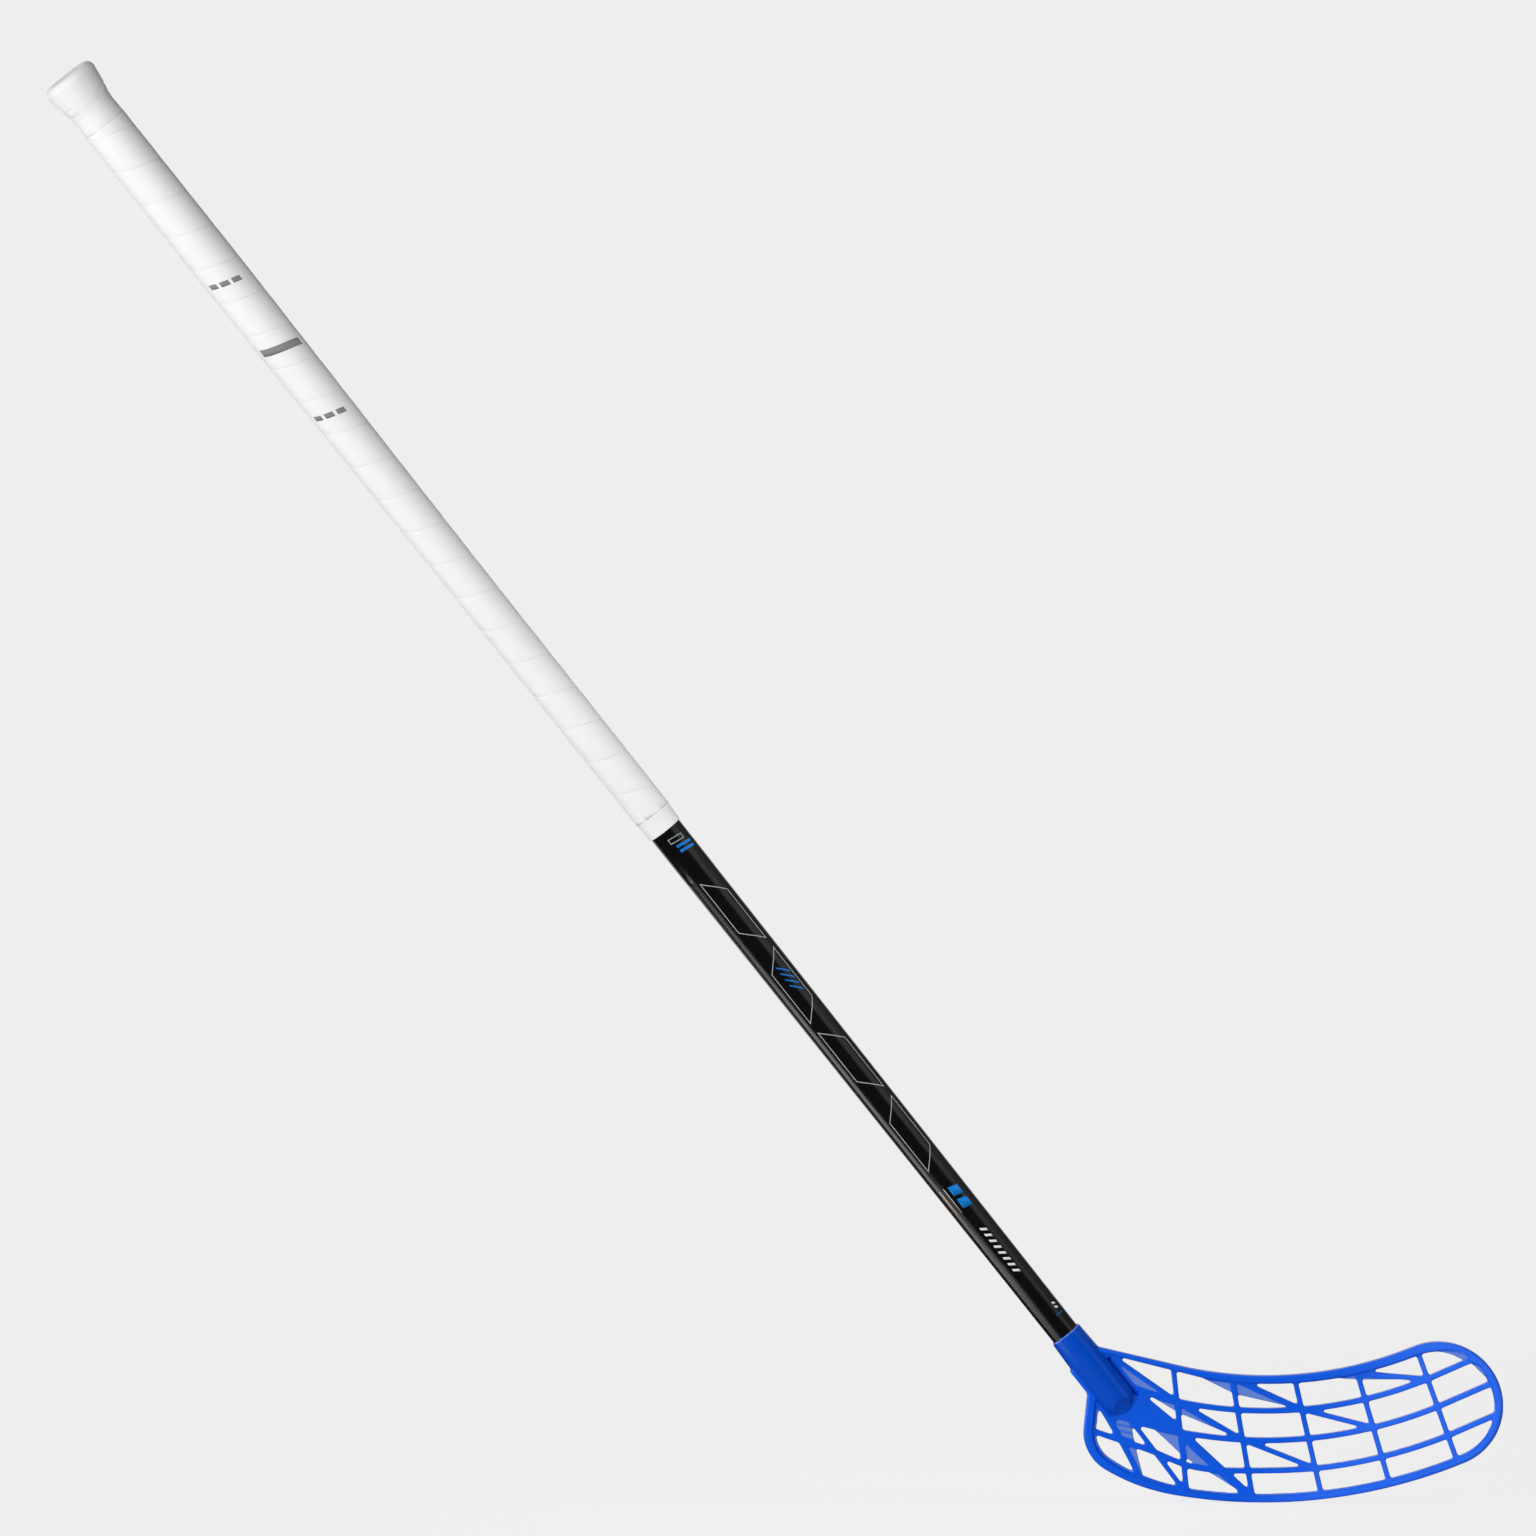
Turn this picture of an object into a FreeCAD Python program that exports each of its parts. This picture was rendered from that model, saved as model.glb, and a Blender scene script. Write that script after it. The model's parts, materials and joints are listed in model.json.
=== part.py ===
import FreeCAD, Part
import math
import os
from FreeCAD import Vector

# A floorball stick in its playing lie: sole on the floor, toe towards +X, open face towards -Y.
# The origin is the centre of the butt face. Lengths are in millimetres, angles in degrees.
# Along the shaft, a station is the distance from the butt face down the axis.

# Whole stick
lie_angle = 51.5
stick_reach = 1094.0
seat_gap = 0.05
cut_overrun = 40.0

# Shaft tube
shaft_length = 1000.0
shaft_wall = 1.4
shaft_butt_diameter = 25.2
shaft_waist_diameter = 21.6
shaft_neck_diameter = 20.8
shaft_foot_diameter = 17.8
shaft_butt_run = 154.0
shaft_waist_station = 379.0

# Butt plug
plug_flange_thickness = 2.5
plug_flange_diameter = 28.0
plug_depth = 24.0
plug_wall = 2.0
plug_lead = 1.0

# Butt knob
knob_end_wall = 4.0
knob_length = 37.0
knob_end_diameter = 34.4
knob_edge_round = 5.0
knob_flare_length = 25.5
knob_flare_bulge = 0.3
knob_crease_depth = 0.5
knob_crease_width = 2.4
knob_crease_stations = (17.5, 22.5)

# Grip winding
grip_length = 577.0
grip_thickness = 1.3
grip_turns = 22
grip_seam = 0.5
grip_tip_width = 4.0
spans_per_turn = 4
points_per_span = 5

# Tape that holds the end of the winding
tape_length = 12.0
tape_thickness = 0.9
tape_ribs = 6
tape_rib_height = 0.25

# Blade outline, from the point where the shaft's axis meets the floor
toe_reach = 180.5
toe_radius = 37.8
heel_reach = 69.6
heel_radius = 26.4
heel_centre_height = 42.6
heel_blend_radius = 120.0
heel_lean = 5.7
sole_radius = 300.0
sole_low_reach = 36.8
top_rail_height = 76.4
top_rail_radius = 224.0
top_rail_fall = 13.2

# Blade section: the hook bends the face towards -Y from its start to the toe
hook_start = -10.0
hook_radius = 700.0
rim_depth = 10.0
rib_depth = 7.0
web_depth = 1.4
web_setback = 4.8
web_ledge = 1.2
ridge_width = 1.1
ridge_height = 0.7
top_rim_width = 4.4
sole_rim_width = 3.6
heel_rim_share = 1.4
rim_ledge = 0.6
rim_round = 1.8
window_round = 0.9
points_per_side = 9

# Blade ribs
row_width = 3.3
column_width = 3.0
brace_width = 3.0
main_brace_width = 5.0
root_brace_width = 2.4
toe_row_rise = 25.0

# Blade socket
socket_depth = 42.5
socket_wall = 1.1
socket_swell = 0.75
socket_swell_length = 19.0
socket_tail = 8.0
socket_floor = 9.5
socket_lip = 0.7
socket_facet_angle = 35.0
cheek_width = 2.3
groove_width = 2.2
groove_offset = 0.4
groove_drop = 27.0
groove_tail = 6.0
groove_floor = 2.5
fin_width = 1.2
fin_station_drop = 19.5

# Blade screw
screw_drop = 22.0
screw_diameter = 3.5
screw_length = 9.0
screw_head_diameter = 7.0
screw_head_height = 2.4
screw_slot_width = 1.0
screw_slot_depth = 1.2
boss_diameter = 9.5
boss_height = 1.4

# Places on the blade, as shares of its length and of the top rail's height
column_top_shares = (0.215, 0.3555, 0.5054, 0.6517, 0.7957)
column_sole_shares = (0.2491, 0.4074, 0.5714, 0.7329, 0.8932)
row_shares = (0.265, 0.511, 0.765)
top_brace_share = 0.04
upper_row_start_shares = ((0.104, 0.923),)
middle_row_start_shares = ((0.1376, 0.622),)
lower_row_start_shares = ((0.0, 0.59), (0.0884, 0.49), (0.173, 0.392))
root_brace_shares = (0.054, 1.186)
heel_brace_shares = ((0.02, 0.86), (0.0884, 0.49), (0.155, 0.06))
inner_brace_shares = ((0.1117, 0.655), (0.1735, 0.390), (0.252, 0.05))
tongue_shares = ((0.03, 0.80), (0.10, 0.92), (0.1496, 0.835), (0.2203, 0.644), (0.2263, 0.584),
                 (0.1184, 0.632), (0.0632, 0.675))
toe_web_shares = ((0.848, 1.243), (0.948, 1.236), (0.982, 0.976), (0.91, 1.149))
socket_inner_share = 0.5
root_thinning_share = 0.9
root_fall_share = 0.06
fan_run_share = 0.77
fan_drop_share = 0.135
middle_fan_drop_share = 0.09
wide_fan_drop_share = 0.19
small_fan_drop_share = 0.095
heel_web_share = 0.42
ridge_shares = (0.28, 0.54, 0.8)
screw_slot_share = 0.33

# Worked out from the sizes above
blade_length = toe_reach + heel_reach
lie = math.radians(lie_angle)
down_shaft = Vector(math.cos(lie), 0, -math.sin(lie))
across_shaft = Vector(math.sin(lie), 0, math.cos(lie))
floor_point = down_shaft * stick_reach
shaft_start_station = knob_end_wall + plug_flange_thickness
shaft_end_station = shaft_start_station + shaft_length
mouth_station = shaft_end_station - socket_depth
socket_end_station = shaft_end_station + socket_tail
wrap_start_station = knob_length
wrap_end_station = grip_length - tape_length


def shaft_radius(station):
    """Outer radius of the shaft tube at a station."""
    stations = (shaft_butt_run, shaft_waist_station, grip_length, mouth_station)
    diameters = (shaft_butt_diameter, shaft_waist_diameter, shaft_neck_diameter, shaft_foot_diameter)
    if station <= stations[0]:
        return diameters[0] / 2
    for i in range(1, len(stations)):
        if station <= stations[i]:
            share = (station - stations[i - 1]) / (stations[i] - stations[i - 1])
            return (diameters[i - 1] + (diameters[i] - diameters[i - 1]) * share) / 2
    return diameters[-1] / 2


def at_lie(shape):
    """Turn a shape drawn down -Z into the shaft's lie."""
    turn = FreeCAD.Rotation(Vector(0, 1, 0), lie_angle - 90)
    return shape.transformShape(FreeCAD.Placement(Vector(), turn).toMatrix(), True)


def revolved(profile):
    """Closed (radius, station) profile turned round the shaft's axis."""
    points = [Vector(radius, 0, -station) for radius, station in profile]
    face = Part.Face(Part.makePolygon(points + points[:1]))
    return face.revolve(Vector(), Vector(0, 0, 1), 360)


def on_shaft(station, offset):
    """Point in the lie's plane, at a station and beside the axis."""
    return down_shaft * station + across_shaft * offset


def on_blade(reach, height):
    """Point in the lie's plane, measured from where the axis meets the floor."""
    return floor_point + Vector(reach, 0, height)


def by_shares(place):
    """Point of the blade from its shares of the blade's length and of the top rail's height."""
    return on_blade(place[0] * blade_length - heel_reach, place[1] * top_rail_height)


def make_shaft():
    """Tapered tube, with the screw's hole at its foot."""
    stations = (shaft_start_station, shaft_butt_run, shaft_waist_station, grip_length, mouth_station,
                shaft_end_station)
    outer = [(shaft_radius(station), station) for station in stations]
    inner = [(radius - shaft_wall, station) for radius, station in reversed(outer)]
    return at_lie(revolved(outer + inner)).cut(screw_rod(screw_diameter / 2, 0, cut_overrun))


def make_plug():
    """Hollow plug with a flange that covers the tube's end."""
    seat = shaft_butt_diameter / 2 - shaft_wall - seat_gap
    flange = plug_flange_diameter / 2
    top = knob_end_wall + seat_gap
    foot = shaft_start_station + plug_depth
    under = shaft_start_station - seat_gap
    bore = seat - plug_wall
    profile = [(0, top), (flange, top), (flange, under), (seat, under), (seat, foot - plug_lead),
               (seat - plug_lead, foot), (bore, foot), (bore, shaft_start_station),
               (0, shaft_start_station)]
    return at_lie(revolved(profile))


def make_knob():
    """Flared cap over the plug's flange and the tube, with a rounded end and shallow creases."""
    end = knob_end_diameter / 2
    neck = shaft_butt_diameter / 2 + grip_thickness
    bore = shaft_butt_diameter / 2 + seat_gap
    flange = plug_flange_diameter / 2 + seat_gap
    flare_curve = Part.Arc(
        point_at(end, knob_edge_round),
        point_at(flare_radius((knob_edge_round + knob_flare_length) / 2),
                 (knob_edge_round + knob_flare_length) / 2),
        point_at(neck, knob_flare_length)).toShape()
    corner = math.sqrt(0.5)
    edge_curve = Part.Arc(
        point_at(end - knob_edge_round, 0),
        point_at(end - knob_edge_round * (1 - corner), knob_edge_round * (1 - corner)),
        point_at(end, knob_edge_round)).toShape()
    straight = [(neck, knob_flare_length), (neck, knob_length - seat_gap), (bore, knob_length - seat_gap),
                (bore, shaft_start_station), (flange, shaft_start_station), (flange, knob_end_wall),
                (0, knob_end_wall), (0, 0), (end - knob_edge_round, 0)]
    points = [point_at(radius, station) for radius, station in straight]
    lines = [Part.makeLine(a, b) for a, b in zip(points, points[1:])]
    face = Part.Face(Part.Wire([edge_curve, flare_curve] + lines))
    knob = face.revolve(Vector(), Vector(0, 0, 1), 360)
    for station in knob_crease_stations:
        knob = knob.cut(crease_ring(station))
    return at_lie(knob)


def flare_radius(station):
    """Outer radius of the knob's flare at a station."""
    end = knob_end_diameter / 2
    neck = shaft_butt_diameter / 2 + grip_thickness
    share = (station - knob_edge_round) / (knob_flare_length - knob_edge_round)
    return end + (neck - end) * share + knob_flare_bulge * 4 * share * (1 - share)


def point_at(radius, station):
    """Point of a profile drawn down -Z."""
    return Vector(radius, 0, -station)


def crease_ring(station):
    """Ring that presses one crease into the knob's flare."""
    round_radius = (knob_crease_width ** 2 / 4 + knob_crease_depth ** 2) / (2 * knob_crease_depth)
    return Part.makeTorus(flare_radius(station) + round_radius - knob_crease_depth, round_radius,
                          point_at(0, station), Vector(0, 0, 1))


def wrap_edges(turn):
    """Stations of the band's upper and lower edge, after so many turns."""
    pitch = (wrap_end_station - wrap_start_station) / (grip_turns - 1)
    upper = max(wrap_start_station, wrap_start_station + (turn - 1) * pitch)
    lower = min(wrap_end_station - seat_gap, wrap_start_station + turn * pitch - grip_seam)
    return upper, lower


def wrap_corner(turn, lower, outer):
    """Corner of the band's section after so many turns."""
    station = wrap_edges(turn)[1 if lower else 0]
    radius = shaft_radius(station) + seat_gap + (grip_thickness if outer else 0)
    angle = 2 * math.pi * turn
    return Vector(radius * math.cos(angle), radius * math.sin(angle), -station)


def make_wrap():
    """One unbroken band, wound down the tube with a narrow seam, pointed at both ends."""
    pitch = (wrap_end_station - wrap_start_station) / (grip_turns - 1)
    tip = (grip_tip_width + grip_seam) / pitch
    count = grip_turns * spans_per_turn
    turns = [max(tip, min(grip_turns - tip, i / spans_per_turn)) for i in range(count + 1)]
    corners = ((False, False), (False, True), (True, True), (True, False))
    faces = []
    for begin, stop in zip(turns, turns[1:]):
        steps = [begin + (stop - begin) * i / points_per_span for i in range(points_per_span + 1)]
        curves = []
        for lower, outer in corners:
            curve = Part.BSplineCurve()
            curve.interpolate([wrap_corner(turn, lower, outer) for turn in steps])
            curves.append(curve.toShape())
        for i, curve in enumerate(curves):
            faces.append(Part.makeRuledSurface(curve, curves[(i + 1) % len(curves)]))
    for turn in (turns[0], turns[-1]):
        section = [wrap_corner(turn, lower, outer) for lower, outer in corners]
        faces.append(Part.Face(Part.makePolygon(section + section[:1])))
    shell = Part.makeShell(faces)
    shell.sewShape()
    band = Part.makeSolid(shell)
    seams = [wrap_edges(turn + 1)[0] - wrap_edges(turn)[1] for turn in turns if turn + 1 <= turns[-1]]
    print("least gap between turns of the grip, mm:", round(min(seams), 3))
    return at_lie(band)


def make_tape():
    """Short tapering tape with fine ribs."""
    pitch = tape_length / tape_ribs
    outer = []
    for i in range(tape_ribs):
        top = wrap_end_station + i * pitch
        for station, rise in ((top, 0), (top + pitch / 2, tape_rib_height)):
            outer.append((shaft_radius(station) + seat_gap + tape_thickness + rise, station))
    foot = shaft_radius(grip_length) + seat_gap
    outer.append((foot + tape_thickness - tape_rib_height, grip_length))
    inner = [(foot, grip_length), (shaft_radius(wrap_end_station) + seat_gap, wrap_end_station)]
    return at_lie(revolved(outer + inner))


def arc(centre, radius, begin, stop):
    """Arc in the lie's plane between two of its points, the short way round."""
    middle = (begin - centre).normalize() + (stop - centre).normalize()
    return Part.Arc(begin, centre + middle.normalize() * radius, stop).toShape()


def beyond(start, through, distance):
    """Point on the line from start through another point, at a distance from start."""
    return start + (through - start).normalize() * distance


def rail_and_toe(rail_inset, sole_inset):
    """Centres of the top rail's arc and of the toe's, which meet each other and the sole smoothly."""
    toe_line = toe_radius - rail_inset
    toe_x = toe_reach - toe_radius
    sole_gap = sole_radius - sole_inset - toe_line
    toe_z = sole_radius - math.sqrt(sole_gap ** 2 - (toe_x - sole_low_reach) ** 2)
    rail_z = top_rail_height + top_rail_radius
    rail_gap = top_rail_radius + rail_inset + toe_line
    rail_x = toe_x - math.sqrt(rail_gap ** 2 - (toe_z - rail_z) ** 2)
    return on_blade(rail_x, rail_z), on_blade(toe_x, toe_z)


def to_offset(point, way, offset):
    """Where a line from a point meets the line beside the shaft's axis."""
    return point + way * ((offset - across_shaft.dot(point)) / across_shaft.dot(way))


def blade_outline(rail_inset, sole_inset):
    """Closed outline of the blade, drawn in by the two insets."""
    sole_centre = on_blade(sole_low_reach, sole_radius)
    sole_line = sole_radius - sole_inset
    rail_centre, toe_centre = rail_and_toe(rail_inset, sole_inset)
    rail_line = top_rail_radius + rail_inset
    heel_centre = on_blade(heel_radius - heel_reach, heel_centre_height)
    heel_inset = sole_inset * heel_rim_share
    heel_line = heel_radius - heel_inset
    blend_line = heel_blend_radius - heel_inset
    blend_centre = blend_arc_centre(heel_centre, sole_centre, sole_line - blend_line)

    fall = math.radians(top_rail_fall * (1 - rail_inset * root_fall_share))
    rail_start = rail_centre - Vector(math.sin(fall), 0, math.cos(fall)) * rail_line
    root = rail_root() + down_shaft * (rail_inset * root_thinning_share)
    to_toe = beyond(rail_centre, toe_centre, rail_line)
    to_sole = beyond(sole_centre, toe_centre, sole_line)
    to_blend = beyond(sole_centre, blend_centre, sole_line)
    to_heel = beyond(blend_centre, heel_centre, blend_line)
    lean = math.radians(heel_lean)
    to_side = heel_centre + Vector(-math.cos(lean), 0, math.sin(lean)) * heel_line
    fin_station = mouth_station + fin_station_drop + heel_inset
    fin_edge = socket_radius(fin_station) + fin_width - heel_inset
    fin_top = on_shaft(fin_station, -fin_edge)
    fin_foot = to_offset(to_side, Vector(math.sin(lean), 0, math.cos(lean)), -fin_edge)
    fin_root = on_shaft(fin_station, -socket_radius(fin_station) * socket_inner_share)
    edges = [Part.makeLine(root, rail_start),
             arc(rail_centre, rail_line, rail_start, to_toe),
             toe_arc(toe_centre, toe_radius - rail_inset, to_toe, to_sole),
             arc(sole_centre, sole_line, to_sole, to_blend),
             arc(blend_centre, blend_line, to_blend, to_heel),
             arc(heel_centre, heel_line, to_heel, to_side)]
    corners = [to_side, fin_foot, fin_top, fin_root, root]
    edges += [Part.makeLine(a, b) for a, b in zip(corners, corners[1:])]
    return Part.Face(Part.Wire(edges))


def rail_root():
    """Where the top rail's upper edge runs into the socket."""
    fall = math.radians(top_rail_fall)
    start = rail_and_toe(0, 0)[0] - Vector(math.sin(fall), 0, math.cos(fall)) * top_rail_radius
    way = Vector(math.cos(fall), 0, -math.sin(fall))
    return to_offset(start, way, socket_radius(mouth_station) * socket_inner_share)


def toe_arc(centre, radius, begin, stop):
    """Arc of the toe, the long way round by its foremost point."""
    return Part.Arc(begin, centre + Vector(radius, 0, 0), stop).toShape()


def blend_arc_centre(heel_centre, sole_centre, far):
    """Centre of the arc from the heel's corner into the sole, so far from the sole's own centre."""
    near = heel_blend_radius - heel_radius
    line = sole_centre - heel_centre
    span = line.Length
    along = (near ** 2 - far ** 2 + span ** 2) / (2 * span)
    aside = math.sqrt(near ** 2 - along ** 2)
    way = line.normalize()
    return heel_centre + way * along + Vector(-way.z, 0, way.x) * -aside


def prism(face):
    """Face in the lie's plane, run through the blade's whole depth."""
    deep = hook_radius / 2
    solid = face.extrude(Vector(0, 2 * deep, 0))
    solid.translate(Vector(0, -deep, 0))
    return solid


def hooked_slab(front, back):
    """Everything between two surfaces that follow the blade's hook."""
    centre = floor_point + Vector(hook_start, -hook_radius, 0)
    sweep = math.asin((toe_reach + cut_overrun - hook_start) / hook_radius)
    behind = Vector(-heel_reach - cut_overrun - hook_start, 0, 0)

    def on_hook(offset, angle):
        reach = hook_radius + offset
        return centre + Vector(reach * math.sin(angle), reach * math.cos(angle), 0)

    def hook_arc(offset):
        return Part.Arc(on_hook(offset, 0), on_hook(offset, sweep / 2), on_hook(offset, sweep)).toShape()

    edges = [Part.makeLine(on_hook(front, 0) + behind, on_hook(front, 0)), hook_arc(front),
             Part.makeLine(on_hook(front, sweep), on_hook(back, sweep)), hook_arc(back),
             Part.makeLine(on_hook(back, 0), on_hook(back, 0) + behind),
             Part.makeLine(on_hook(back, 0) + behind, on_hook(front, 0) + behind)]
    face = Part.Face(Part.Wire(Part.__sortEdges__(edges)))
    face.translate(Vector(0, 0, -cut_overrun))
    return face.extrude(Vector(0, 0, 2 * cut_overrun + stick_reach - mouth_station))


def strip(points, width):
    """Flat rib of one width along a smooth line through points in the lie's plane."""
    curve = Part.BSplineCurve()
    curve.interpolate(points)
    sides = []
    for half in (-width / 2, width / 2):
        line = []
        for point in points:
            way = curve.tangent(curve.parameter(point))[0]
            line.append(point + Vector(-way.z, 0, way.x) * half)
        side = Part.BSplineCurve()
        side.interpolate(line)
        sides.append(side.toShape())
    return Part.makeRuledSurface(*sides)


def straight_strip(begin, stop, width):
    """Flat straight rib between two points in the lie's plane."""
    way = (stop - begin).normalize()
    aside = Vector(-way.z, 0, way.x) * (width / 2)
    return flat_panel(begin - aside, stop - aside, stop + aside, begin + aside)


def column_ends(column):
    """Where a column's line leaves the top rail and reaches the sole."""
    rail_centre = rail_and_toe(0, 0)[0]
    sole_centre = on_blade(sole_low_reach, sole_radius)
    top_reach = column_top_shares[column] * blade_length - heel_reach
    sole_reach = column_sole_shares[column] * blade_length - heel_reach
    top = below(rail_centre, top_rail_radius + top_rim_width / 2, on_blade(top_reach, 0))
    sole = below(sole_centre, sole_radius - sole_rim_width / 2, on_blade(sole_reach, 0))
    return top, sole


def below(centre, radius, place):
    """Point of a circle's lower half that is straight above or below a place."""
    aside = place.x - centre.x
    return Vector(place.x, 0, centre.z - math.sqrt(radius ** 2 - aside ** 2))


def crossing(column, share):
    """Point on a column, at a share of its height from the top rail."""
    top, sole = column_ends(column)
    return top + (sole - top) * share


def blade_ribs():
    """Flat ribs of the lattice, in the lie's plane."""
    columns = range(len(column_top_shares))
    last = columns[-1]
    rise = math.radians(toe_row_rise)
    run_out = Vector(math.cos(rise), 0, math.sin(rise)) * (2 * toe_radius)
    starts = (upper_row_start_shares, middle_row_start_shares, lower_row_start_shares)
    ribs = []
    for share, start in zip(row_shares, starts):
        line = [by_shares(place) for place in start] + [crossing(column, share) for column in columns]
        ribs.append(strip(line, row_width))
        ribs.append(straight_strip(line[-1], line[-1] + run_out, row_width))
    for column in columns:
        top, sole = column_ends(column)
        ribs.append(straight_strip(top, sole, column_width))
    upper, middle, lower = row_shares
    braces = ((0, upper, 1, middle), (1, 0, 2, upper), (1, middle, 2, lower), (2, upper, 3, middle),
              (3, top_brace_share, 4, upper))
    for left, left_share, right, right_share in braces:
        ribs.append(straight_strip(crossing(left, left_share), crossing(right, right_share), brace_width))
    ribs.append(straight_strip(crossing(0, middle), crossing(1, 1), main_brace_width))
    ribs.append(straight_strip(by_shares(root_brace_shares), crossing(0, upper), root_brace_width))
    for places in (heel_brace_shares, inner_brace_shares):
        ribs.append(strip([by_shares(place) for place in places], brace_width))
    ribs.append(flat_panel(*[by_shares(place) for place in tongue_shares]))
    side = socket_radius(shaft_end_station)
    foot = socket_end_station + socket_floor
    ribs.append(flat_panel(on_shaft(mouth_station, -side), on_shaft(mouth_station, side + cheek_width),
                           on_shaft(foot, side + cheek_width), on_shaft(foot, -side)))
    return ribs


def socket_radius(station):
    """Outer radius of the blade's socket at a station."""
    share = min(1.0, (station - mouth_station) / socket_swell_length)
    return shaft_foot_diameter / 2 + seat_gap + socket_wall + socket_swell * share


def make_blade():
    """Moulded blade: rim, lattice and socket in one piece."""
    blade = rounded_blank()
    field = blade_outline(top_rim_width, sole_rim_width)
    for front, back in ((-rim_depth, -rib_depth / 2), (rib_depth / 2, rim_depth)):
        blade = blade.cut(prism(field).common(hooked_slab(front, back)))
    openings = Part.makeCompound(blade_windows())
    webs = blade_webs()
    blade = blade.cut([prism(face) for face in openings.cut(webs).Faces])
    webbed = [prism(face) for face in openings.common(Part.makeCompound(webs)).Faces]
    web_back = rib_depth / 2 - web_setback
    for front, back in ((-rim_depth, web_back - web_depth), (web_back, rim_depth)):
        slab = hooked_slab(front, back)
        blade = blade.cut([slab.common(tool) for tool in webbed])
    blade = blade.cut(socket_groove())
    blade = blade.fuse([make_socket(), screw_rod(boss_diameter / 2, 0, screw_seat())] + web_ridges().Solids)
    bore = Part.makeCylinder(shaft_foot_diameter / 2 + seat_gap, socket_depth + cut_overrun,
                             on_shaft(shaft_end_station + seat_gap, 0), -down_shaft)
    return blade.cut([bore, screw_rod(screw_diameter / 2, 0, cut_overrun)]).removeSplitter()


def socket_groove():
    """Slot beside the socket, towards the toe, with a floor at the blade's back."""
    side = socket_radius(shaft_end_station) + groove_offset
    slot = straight_strip(on_shaft(mouth_station + groove_drop, side),
                          on_shaft(socket_end_station + groove_tail, side), groove_width)
    return prism(slot).common(hooked_slab(-rim_depth, rib_depth / 2 - groove_floor))


def rounded_blank():
    """The blade before its windows, with its rim rounded front and back."""
    blank = prism(blade_outline(0, 0)).common(hooked_slab(-rim_depth / 2, rim_depth / 2))
    rim = [edge for edge in blank.Edges if abs(edge.tangentAt(edge.FirstParameter).y) < math.sqrt(0.5)]
    return blank.makeFillet(rim_round, rim)


def blade_windows():
    """Flat openings between the ribs, with rounded corners."""
    field = blade_outline(top_rim_width + rim_ledge, sole_rim_width + rim_ledge)
    least = (2 * window_round) ** 2
    gaps = [face for face in field.cut(blade_ribs()).Faces if face.Area > least]
    return [redrawn(face.makeOffset2D(-window_round).makeOffset2D(window_round)) for face in gaps]


def redrawn(opening):
    """The same opening without the specks that rounding leaves between its sides."""
    sides = [edge for edge in opening.Wires[0].OrderedEdges if edge.Length > seat_gap]
    runs = [edge.discretize(points_per_side) for edge in sides]
    for i, run in enumerate(runs):
        ends = (runs[i - 1][0], runs[i - 1][-1])
        from_first, from_last = [min(run[k].distanceToPoint(end) for end in ends) for k in (0, -1)]
        if from_last < from_first:
            run.reverse()
    loop = []
    for i, (side, run) in enumerate(zip(sides, runs)):
        run[0] = runs[i - 1][-1]
        if isinstance(side.Curve, Part.Line):
            loop.append(Part.makeLine(run[0], run[-1]))
        else:
            curve = Part.BSplineCurve()
            curve.interpolate(run)
            loop.append(curve.toShape())
    return Part.Face(Part.Wire(loop))


def flat_panel(*corners):
    """Flat face with straight sides in the lie's plane."""
    return Part.Face(Part.makePolygon(list(corners) + [corners[0]]))


def blade_webs():
    """Thin webs that fill some corners of the lattice near its front, and line the heel and sole."""
    upper, middle, lower = row_shares
    upper_start = by_shares(upper_row_start_shares[0])
    middle_start = by_shares(middle_row_start_shares[0])
    fans = ((crossing(1, 0), crossing(0, 0), crossing(2, upper), crossing(1, fan_drop_share)),
            (crossing(0, upper), upper_start, crossing(1, middle), crossing(0, upper + middle_fan_drop_share)),
            (crossing(0, middle), middle_start, crossing(1, 1), crossing(0, middle + wide_fan_drop_share)),
            (crossing(3, 0), crossing(2, 0), crossing(4, upper), crossing(3, small_fan_drop_share)))
    webs = []
    for corner, left, right, drop in fans:
        webs.append(flat_panel(corner, corner + (left - corner) * fan_run_share, drop))
        webs.append(flat_panel(corner, right, drop))
    webs.append(flat_panel(by_shares(root_brace_shares), crossing(0, upper), upper_start))
    left_top, right_top, right_foot, left_foot = heel_web_corners()
    webs.append(flat_panel(left_foot, right_foot, by_shares(heel_brace_shares[-1])))
    webs.append(flat_panel(left_top, right_top, right_foot, left_foot))
    webs.append(flat_panel(*[by_shares(place) for place in toe_web_shares]))
    inner_edge = blade_outline(top_rim_width, sole_rim_width + rim_ledge + web_ledge)
    ledge = blade_outline(top_rim_width, sole_rim_width).cut(inner_edge)
    webs.append(max(ledge.Faces, key=lambda face: face.Area))
    return webs


def heel_web_corners():
    """Corners of the ridged web below the socket."""
    heel_mid = by_shares(heel_brace_shares[1])
    inner_mid = by_shares(inner_brace_shares[1])
    right_foot = heel_mid + (inner_mid - heel_mid) * heel_web_share
    return by_shares(tongue_shares[-1]), by_shares(inner_brace_shares[0]), right_foot, heel_mid


def web_ridges():
    """Low ridges across the web below the socket."""
    left_top, right_top, right_foot, left_foot = heel_web_corners()
    web_front = rib_depth / 2 - web_setback - web_depth
    bars = []
    for share in ridge_shares:
        left = left_top + (left_foot - left_top) * share
        right = right_top + (right_foot - right_top) * share
        bars.append(prism(straight_strip(left, right, ridge_width)))
    return Part.makeCompound(bars).common(hooked_slab(web_front - ridge_height, web_front + web_depth / 2))


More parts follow.
